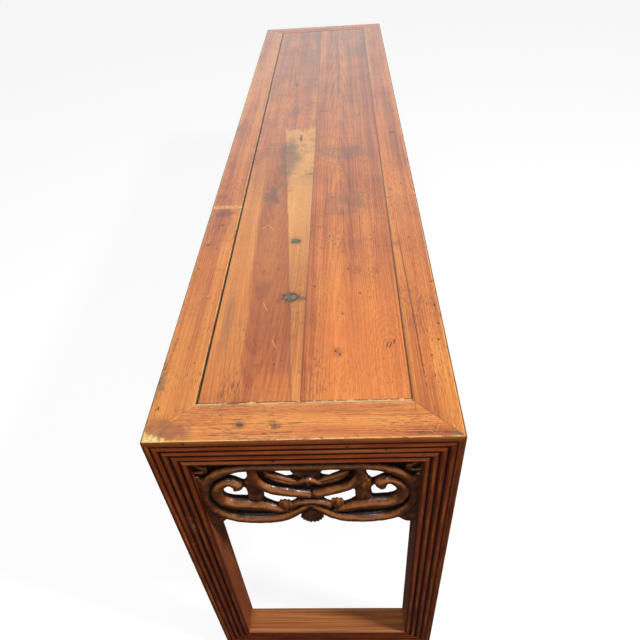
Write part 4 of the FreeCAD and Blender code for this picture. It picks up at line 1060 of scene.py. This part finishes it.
LEAF = [[(-66, 100, 10, 4), (-56, 107, 11, 5.6), (-42, 115, 11, 5.4), (-28, 122, 11.5, 4.2),
         (-17, 128, 12, 2.6)],
        [(-64, 106, 13, 3), (-54, 113, 13.5, 4), (-41, 121, 14, 4), (-28, 127, 14, 3), (-18, 131, 14, 2)],
        [(-60, 104, 8, 3), (-50, 112, 8, 4), (-38, 120, 8, 4), (-26, 124, 9, 3.4)]]
BUD = [[(-48.5, 184, 12, 3), (-49.5, 192, 12.5, 4.2), (-47.5, 201, 13, 3.4)],
       [(-42, 182, 13, 3.4), (-42.5, 191, 14.5, 5), (-42, 202, 15, 4), (-41, 210, 14, 2.5)],
       [(-35.5, 184, 12, 3), (-35, 192, 12.5, 4.2), (-36.5, 202, 13, 3.2)]]
UPPER_CURL = [(-179, 74, 11, 3.5), (-170, 76, 13, 4.5), (-161, 82, 14, 4.8), (-160, 91, 13, 4.2),
              (-168, 95, 13, 3.6), (-178, 96, 12, 3.4)]
LOWER_CURL = [(-151, 232, 11, 6), (-159, 240, 11, 6), (-168, 245, 11, 6), (-176, 243, 11, 6.5),
              (-179, 238, 11, 6.5)]
half_strands = [RING, SCROLL, TENDRIL, LINK, WEB, *LEAF, *BUD, UPPER_CURL, LOWER_CURL]
print("strands in each half:", len(half_strands), "points:", sum(len(strand) for strand in half_strands))

# %% [markdown]
# The right half mirrors the left, but it was carved by hand and not copied: its scroll sits a little
# further out, and its tendril ends in a round tip that lies over the left one. The middle has its own
# strands: the bow over the shell, the flutes of the shell, and a small flower under the bar.


# %% The whole motif
def mirrored(strand, shift=0.0):
    return [(-across + shift, down, depth, radius) for across, down, depth, radius in strand]


def raised(strand, rise):
    return [(across, down - rise, depth, radius) for across, down, depth, radius in strand]


RIGHT_TENDRIL = [(85, 86, 12, 8.8), (86, 102, 12, 9.4), (83, 116, 12, 9.4), (72, 132, 12.5, 9.4),
                 (53, 143, 12.5, 9.4), (33, 151, 12.5, 9.6), (15, 158, 12, 10.2)]
RIGHT_BUD_LEAF = [(86, 148, 14, 3), (89, 140, 16, 4.6), (91, 131, 15.5, 3.6), (92, 124, 14, 2)]
BOW = [(-31, 201, 13, 4.8), (-25, 191, 14, 5.6), (-14, 183, 14.5, 6), (0, 180.5, 14.5, 6.2),
       (14, 182, 14.5, 6), (26, 188, 14, 6), (32, 199, 13, 5.2)]
FLOWER = [[(-22, 134, 12, 3), (-12, 125, 14.5, 4.4), (1, 115.5, 15.5, 5.4), (13, 125, 14.5, 4.4),
           (23, 134, 12, 3)],
          [(1, 117, 17, 4.6), (2, 127, 15.5, 3.8), (2, 136, 12.5, 2.4)],
          [(-20, 88, 7, 8), (-19, 98, 8, 7), (-10, 108, 9, 6)],
          [(20, 88, 7, 8), (19, 98, 8, 7), (10, 108, 9, 6)],
          [(-6, 88, 8, 9), (-4, 102, 8, 8)], [(7, 88, 8, 9), (5, 102, 8, 8)]]
SHELL_FLUTES = 8
SHELL_TOP, SHELL_REACH, SHELL_SPREAD = 202, 57, 0.4


def shell_flutes():
    """Flutes that fan out from one point. Each grows thicker towards the shell's lower edge."""
    flutes = []
    for number in range(SHELL_FLUTES):
        aside = 2 * number / (SHELL_FLUTES - 1) - 1
        angle = aside * SHELL_SPREAD
        reach = SHELL_REACH * (1 - 0.2 * aside ** 2)
        bulge = 1 - 0.5 * aside ** 2
        flutes.append([(math.sin(angle) * reach * share, SHELL_TOP + math.cos(angle) * reach * share,
                        7 + 6.5 * bulge * math.sin(math.pi * min(share + 0.15, 1)), 1.4 + 1.7 * share)
                       for share in (0, 0.35, 0.7, 1)])
    return flutes


motif = [*half_strands, *(mirrored(strand) for strand in (RING, LINK, WEB, *LEAF, UPPER_CURL, LOWER_CURL)),
         mirrored(SCROLL[1:], 3), *(mirrored(raised(strand, 3), 4) for strand in BUD), RIGHT_TENDRIL,
         RIGHT_BUD_LEAF, BOW, *FLOWER, *shell_flutes()]
print("strands in the motif:", len(motif))

# %% [markdown]
# One tree of nodes makes round strands of the points: a smooth curve through them, a circle swept along it
# with the thickness at each place, and a ball at each end.

# %% The strand tree
strand_tree, strands, strand_in = new_tree("carved_strand", [
    ("Spacing", "Float", 1.5 * MM), ("Sides", "Int", 16), ("Material", "Material", None)])
curve = strands.add("GeometryNodeMeshToCurve", {}, strand_in)
curve = strands.add("GeometryNodeCurveSplineType", {"spline_type": "CATMULL_ROM"}, curve)
curve = strands.add("GeometryNodeResampleCurve", {"mode": "LENGTH"}, curve, Length=strand_in.other("Spacing"))
thickness = strands.named_value("thickness")
circle = strands.add("GeometryNodeCurvePrimitiveCircle", {}, Radius=1, Resolution=strand_in.other("Sides"))
tubes = strands.add("GeometryNodeCurveToMesh", {}, curve, circle, Scale=thickness, Fill_Caps=True)
tips = strands.add("GeometryNodeCurveEndpointSelection", {}, 1, 1)
ball = strands.add("GeometryNodeMeshIcoSphere", {}, Radius=1, Subdivisions=3)
ends = strands.add("GeometryNodeInstanceOnPoints", {}, curve, tips, Instance=ball, Scale=thickness)
close_tree(strands, strand_in, strands.add("GeometryNodeJoinGeometry", {}, tubes))
join = next(node for node in strand_tree.nodes if node.bl_idname == "GeometryNodeJoinGeometry")
strand_tree.links.new(ends.socket, join.inputs[0])
print("carved_strand has", len(strand_tree.nodes), "nodes")

# %% [markdown]
# Behind the strands lies the board itself, sawn out along the lobes and pierced. Its ground is sunk below
# the strands, and the upright strips at its ends stand higher than the ground. Strands and board are
# then fused by a fine voxel skin, which leaves the soft, filled corners of worn carving.

# %% The board and its piercings
GROUND, STILE = 9, 17
FIELD_HALF, FIELD_TOP = 180, 60
LOWER_EDGE = [(-180, 244), (-164, 244), (-150, 229), (-134, 238), (-115, 243), (-95, 245), (-75, 244.5),
              (-55, 241), (-38, 234), (-20, 230), (-16, 246), (-8, 254), (0, 256)]
HOLES = [
    [(-133, 106), (-112, 94), (-93, 91), (-92, 112), (-96, 133), (-106, 134), (-120, 124), (-131, 118)],
    [(-148, 142), (-139, 130), (-124, 128), (-113, 138), (-104, 149), (-98, 153), (-98, 170), (-112, 186),
     (-131, 186), (-144, 178), (-151, 160)],
    [(-80, 168), (-70, 152), (-52, 146), (-34, 150), (-20, 160), (-22, 190), (-36, 204), (-52, 206),
     (-66, 200), (-77, 188)],
    [(-53, 90), (-22, 90), (-21, 106), (-23, 121), (-37, 125), (-50, 117), (-54, 104)],
]


def smooth_loop(points, steps=6):
    """A closed Catmull-Rom curve through the points."""
    corners = np.array(points, float)
    before, after, beyond = np.roll(corners, 1, 0), np.roll(corners, -1, 0), np.roll(corners, -2, 0)
    rows = []
    for step in range(steps):
        t = step / steps
        rows.append(0.5 * (2 * corners + (after - before) * t
                           + (2 * before - 5 * corners + 4 * after - beyond) * t ** 2
                           + (3 * corners - before - 3 * after + beyond) * t ** 3))
    return np.stack(rows, 1).reshape(-1, 2).tolist()


def meshed(form, name):
    """A plain mesh from what bmesh has built."""
    mesh = bpy.data.meshes.new(name)
    form.to_mesh(mesh)
    form.free()
    return mesh


def plate(loops, front):
    """A flat board from its back to this depth, with the first loop as its edge and the rest as holes."""
    form = bmesh.new()
    for loop in loops:
        corners = [form.verts.new((0, across * MM, -down * MM)) for across, down in loop]
        for first, second in zip(corners, corners[1:] + corners[:1]):
            form.edges.new((first, second))
    bmesh.ops.triangle_fill(form, use_beauty=True, use_dissolve=False, edges=form.edges[:])
    pushed = bmesh.ops.extrude_face_region(form, geom=form.faces[:])
    for item in pushed["geom"]:
        if isinstance(item, bmesh.types.BMVert):
            item.co.x += front * MM
    bmesh.ops.recalc_face_normals(form, faces=form.faces[:])
    return meshed(form, "plate")


def flipped(loop):
    return [(-across, down) for across, down in loop]


outline = [(-FIELD_HALF, FIELD_TOP), *LOWER_EDGE, *flipped(LOWER_EDGE[-2::-1]), (FIELD_HALF, FIELD_TOP)]
holes = [smooth_loop(hole) for hole in HOLES]
holes += [flipped(hole) for hole in holes]
stile = [(-FIELD_HALF, 103), (-174, 103), (-170, 125), (-170, 205), (-160, 226), (-164, 243),
         (-FIELD_HALF, 243)]
boards = [plate([outline, *holes], GROUND), plate([stile], STILE), plate([flipped(stile)], STILE)]
print("faces in the boards:", [len(mesh.polygons) for mesh in boards])

# %% [markdown]
# The strands are laid out as lines of points that carry their thickness, and the strand tree makes them
# round. A voxel remesh then fuses them with the boards. Joining the solids one by one could fail where two
# strands only touch, and a voxel skin never does. A little smoothing takes off its steps.

# %% Fuse strands and board
VOXEL = 1.25 * MM
SOFTEN = 3
form = bmesh.new()
thick = form.verts.layers.float.new("thickness")
for strand in motif:
    previous = None
    for across, down, depth, radius in strand:
        point = form.verts.new((depth * MM, across * MM, -down * MM))
        point[thick] = radius * MM
        if previous:
            form.edges.new((previous, point))
        previous = point
rounds = baked(meshed(form, "strand_lines"), strand_tree, {"Spacing": 1.5 * MM, "Sides": 16})
form = bmesh.new()
for mesh in (rounds, *boards):
    form.from_mesh(mesh)
fused = placed("motif", meshed(form, "motif"))
skin = fused.modifiers.new("skin", "REMESH")
skin.mode = "VOXEL"
skin.voxel_size = VOXEL
soften = fused.modifiers.new("soften", "SMOOTH")
soften.iterations = SOFTEN
soften.factor = 0.5
fused_mesh = as_seen(fused)
print("faces in the fused motif:", len(fused_mesh.polygons))

# %% [markdown]
# A carver's gouge leaves the ground uneven and the strands faintly faceted, and the back is planed flat. For
# the finish, each point of the surface needs to know how sunk it is, for its dirt and painted shade. The
# front is drawn as a map of depths, the map is blurred, and a point is sunk where it lies behind the blurred
# map. It also keeps how far it faces upward, for the painted light on the upper sides, the painted shade on
# the undersides and the dust and painted sheen on what faces straight up.

# %% Tool marks, the flat back and the sunk places
MAP_STEP = 1.5
MAP_COLUMNS, MAP_ROWS = int(2 * FIELD_HALF / MAP_STEP) + 1, 141
BLUR_REACH = 9


def waves(points, pitch, seed):
    """A sum of sines that looks irregular, about -1 to 1."""
    dice = np.random.default_rng(seed)
    total = np.zeros(len(points))
    for _ in range(9):
        way = dice.normal(size=3)
        way /= np.linalg.norm(way)
        total += np.sin(points @ way * (2 * math.pi / pitch) * dice.uniform(0.6, 1.6) + dice.uniform(0, 6))
    return total / 3


def blurred(grid, reach):
    """The grid averaged over a Gaussian neighbourhood, a row and then a column at a time."""
    steps = np.arange(-3 * reach, 3 * reach + 1)
    weights = np.exp(-0.5 * (steps / reach) ** 2)
    weights /= weights.sum()
    padded = np.pad(grid, 3 * reach, mode="edge")
    rows = np.apply_along_axis(lambda row: np.convolve(row, weights, "valid"), 1, padded)
    return np.apply_along_axis(lambda row: np.convolve(row, weights, "valid"), 0, rows)


def read_vertices(mesh, what):
    flat = np.empty(len(mesh.vertices) * 3, np.float32)
    mesh.vertices.foreach_get(what, flat)
    return flat.reshape(-1, 3)


points = read_vertices(fused_mesh, "co").astype(float) / MM
normals = read_vertices(fused_mesh, "normal")
facing = np.clip(normals[:, 0] + 0.3, 0, 1)
marks = 0.24 * waves(points, 24, 1) + 0.1 * waves(points, 6, 2)
points += normals * (marks * facing)[:, None]
points[:, 0] = np.clip(points[:, 0], 0, None)
fused_mesh.vertices.foreach_set("co", (points * MM).astype(np.float32).ravel())

columns = np.clip(((points[:, 1] + FIELD_HALF) / MAP_STEP).astype(int), 0, MAP_COLUMNS - 1)
rows = np.clip(((-points[:, 2] - FIELD_TOP) / MAP_STEP).astype(int), 0, MAP_ROWS - 1)
fronts = np.zeros((MAP_ROWS, MAP_COLUMNS))
np.maximum.at(fronts, (rows, columns), points[:, 0])
sunk = blurred(fronts, round(BLUR_REACH / MAP_STEP))[rows, columns] - points[:, 0]
sunk_share = np.clip((sunk + 3) / 11, 0, 1)
keep(fused_mesh, "sunk", sunk_share)
keep(fused_mesh, "upward", normals[:, 2] / 2 + 0.5)
print("mean of the sunk share:", round(float(sunk_share.mean()), 3), "front:", round(points[:, 0].max(), 2))

# %% [markdown]
# The motif is as wide as the board at each end. Six narrower copies in a row make the board of a long
# side, as the hidden sides are taken to repeat what the end shows. The copies are instances, which cost
# nothing until they are made real, and they have fewer faces because they are seen from further off.

# %% A row of motifs
LONG_MOTIFS = 6
FACES_AT_END, FACES_IN_ROW = 90000, 29000


def thinned(mesh, faces):
    """The same surface with about this many triangles."""
    blank = placed("thinned", mesh)
    blank.modifiers.new("thin", "DECIMATE").ratio = min(1, faces / (2 * len(mesh.polygons)))
    return as_seen(blank)


row_tree, row, row_in = new_tree("motif_row", [
    ("Copies", "Int", LONG_MOTIFS), ("Pitch", "Float", 0.338), ("Material", "Material", None)])
copies, spacing = row_in.other("Copies"), row_in.other("Pitch")
first = (copies - 1) * spacing * -0.5
places = row.add("GeometryNodeMeshLine", {}, copies, Start_Location=row.vector(0, first, 0),
                 Offset=row.vector(0, spacing, 0))
close_tree(row, row_in, row.add("GeometryNodeInstanceOnPoints", {}, places, Instance=row_in))
print("motif_row has", len(row_tree.nodes), "nodes")

# %% [markdown]
# The finish of the carving reads the two numbers that each point keeps. Near black, dirt and painted shade,
# fills what is sunk; painted light makes the upper sides golden brown, painted shade darkens the
# undersides, and a grey of dust and painted sheen lies on what faces straight up. Small scuffs and a coat
# of wax finish it.


# %% Carved wood
def carved_wood(name, grain, seed):
    """Near-black dirt and painted shade in the depths, painted light on the upper sides, and waxed."""
    wood = Timber(name, grain, seed)
    sunk = wood.attribute("sunk")
    bands = wood.streaks(160, 12, 3, salt=81)
    lines = wood.streaks(70, 1.6, 3, 0.6, salt=82)
    crest = wood.ramp(0.5 + bands.swing(0.9) + lines.swing(0.4) + wood.mottle(40, 3, salt=83).swing(0.5),
                      (0.15, srgb(58, 22, 3)), (0.5, srgb(110, 52, 12)), (0.85, srgb(164, 94, 34)))
    upward = wood.attribute("upward") + wood.mottle(20, 3, salt=88).swing(0.3)
    # Paler where the surface faces up and is not sunk: a painted light on the upper sides.
    rubbed = wood.within(upward, 0.66, 0.86, 0.1) * sunk.rise(0.42, 0.18)
    # Darker where the surface is sunk: real dirt and painted shade.
    depth = (sunk + wood.mottle(8, 3, salt=84).swing(0.24)).rise(0.2, 0.62)
    scuffs = wood.mottle(7, 4, 0.75, salt=85).rise(0.6, 0.72) * sunk.rise(0.4, 0.2)
    # Darker where the surface faces down: painted shade. Grey where it faces straight up: dust and painted
    # sheen.
    colour = wood.layers(
        crest, (rubbed * 0.55, srgb(208, 132, 70)), (upward.rise(0.54, 0.26) * 0.85, srgb(30, 11, 3)),
        (upward.rise(0.88, 0.99) * 0.7, srgb(58, 42, 34)), (depth * 0.94, srgb(24, 14, 9)),
        (scuffs * 0.4, srgb(214, 150, 96)), (wood.mottle(6, 4, 0.75, salt=89).rise(0.54, 0.68) * 0.6, GRIME_AND_SHADE))
    height = lines.swing(0.25) + wood.mottle(4, 2, salt=87).swing(0.35)
    return wood.finish(colour, 0.3 + wood.mottle(16, 3, salt=86) * 0.2, height, coat=0.5, coat_roughness=0.2)


CARVING_WOOD = {"x": carved_wood("carving_wood_long", "x", 12), "y": carved_wood("carving_wood_end", "y", 13)}
print("carved finishes:", [material.name for material in CARVING_WOOD.values()])

# %% [markdown]
# The four boards are copies of two meshes, the motif alone and the row, moved to the back plane of each
# apron and turned about the table's middle. A turn and not a mirror keeps the carver's unevenness true.

# %% The four carved boards
end_motif = thinned(fused_mesh, FACES_AT_END)
end_motif.materials.clear()
end_motif.materials.append(CARVING_WOOD["y"])
opening = 2 * (HALF_LENGTH - LEG_SIDE)
row_motif = thinned(fused_mesh, FACES_IN_ROW)
row_motif.transform(Matrix.Diagonal((1, opening / LONG_MOTIFS / (2 * FIELD_HALF * MM), 1, 1)))
row_motif = baked(row_motif, row_tree, {"Pitch": opening / LONG_MOTIFS, "Copies": LONG_MOTIFS,
                                        "Material": CARVING_WOOD["x"]})
long_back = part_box("long_apron_right")[0].y
for name, motif_mesh, back, turn in (("end_apron_near", end_motif, APRON_BACK, 0),
                                     ("end_apron_far", end_motif, APRON_BACK, math.pi),
                                     ("long_apron_right", row_motif, long_back, math.pi / 2),
                                     ("long_apron_left", row_motif, long_back, -math.pi / 2)):
    mesh = motif_mesh.copy()
    mesh.transform(Matrix.Rotation(turn, 4, "Z") @ Matrix.Translation((back, 0, TOP)))
    add_piece(name, mesh)
print("carved boards:", {name: len(dressed[name].data.polygons) for name in dressed if "apron" in name})

# %% [markdown]
# Boards, battens, feet and pegs are plain enough that the model's own nodes serve, so they only take their
# finishes. Modelling them again would add nothing that an eye could see.

# %% Finishes of the nodes that stay
NODE_WOOD = {"top_board": PANEL_WOOD, "top_batten": INNER_WOOD, "foot": FOOT_WOOD, "frame_pegs": PEG_WOOD,
             "rail_pegs": PEG_WOOD}
for name, node in nodes.items():
    for start, material in NODE_WOOD.items():
        if name.startswith(start):
            node.data.materials.clear()
            node.data.materials.append(material[name] if isinstance(material, dict) else material)
print("nodes that stay:", [name for name in nodes if name not in dressed])

# %% [markdown]
# At the end the scene is measured once more.

# %% Sizes and the end
low_corner, high_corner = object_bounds()
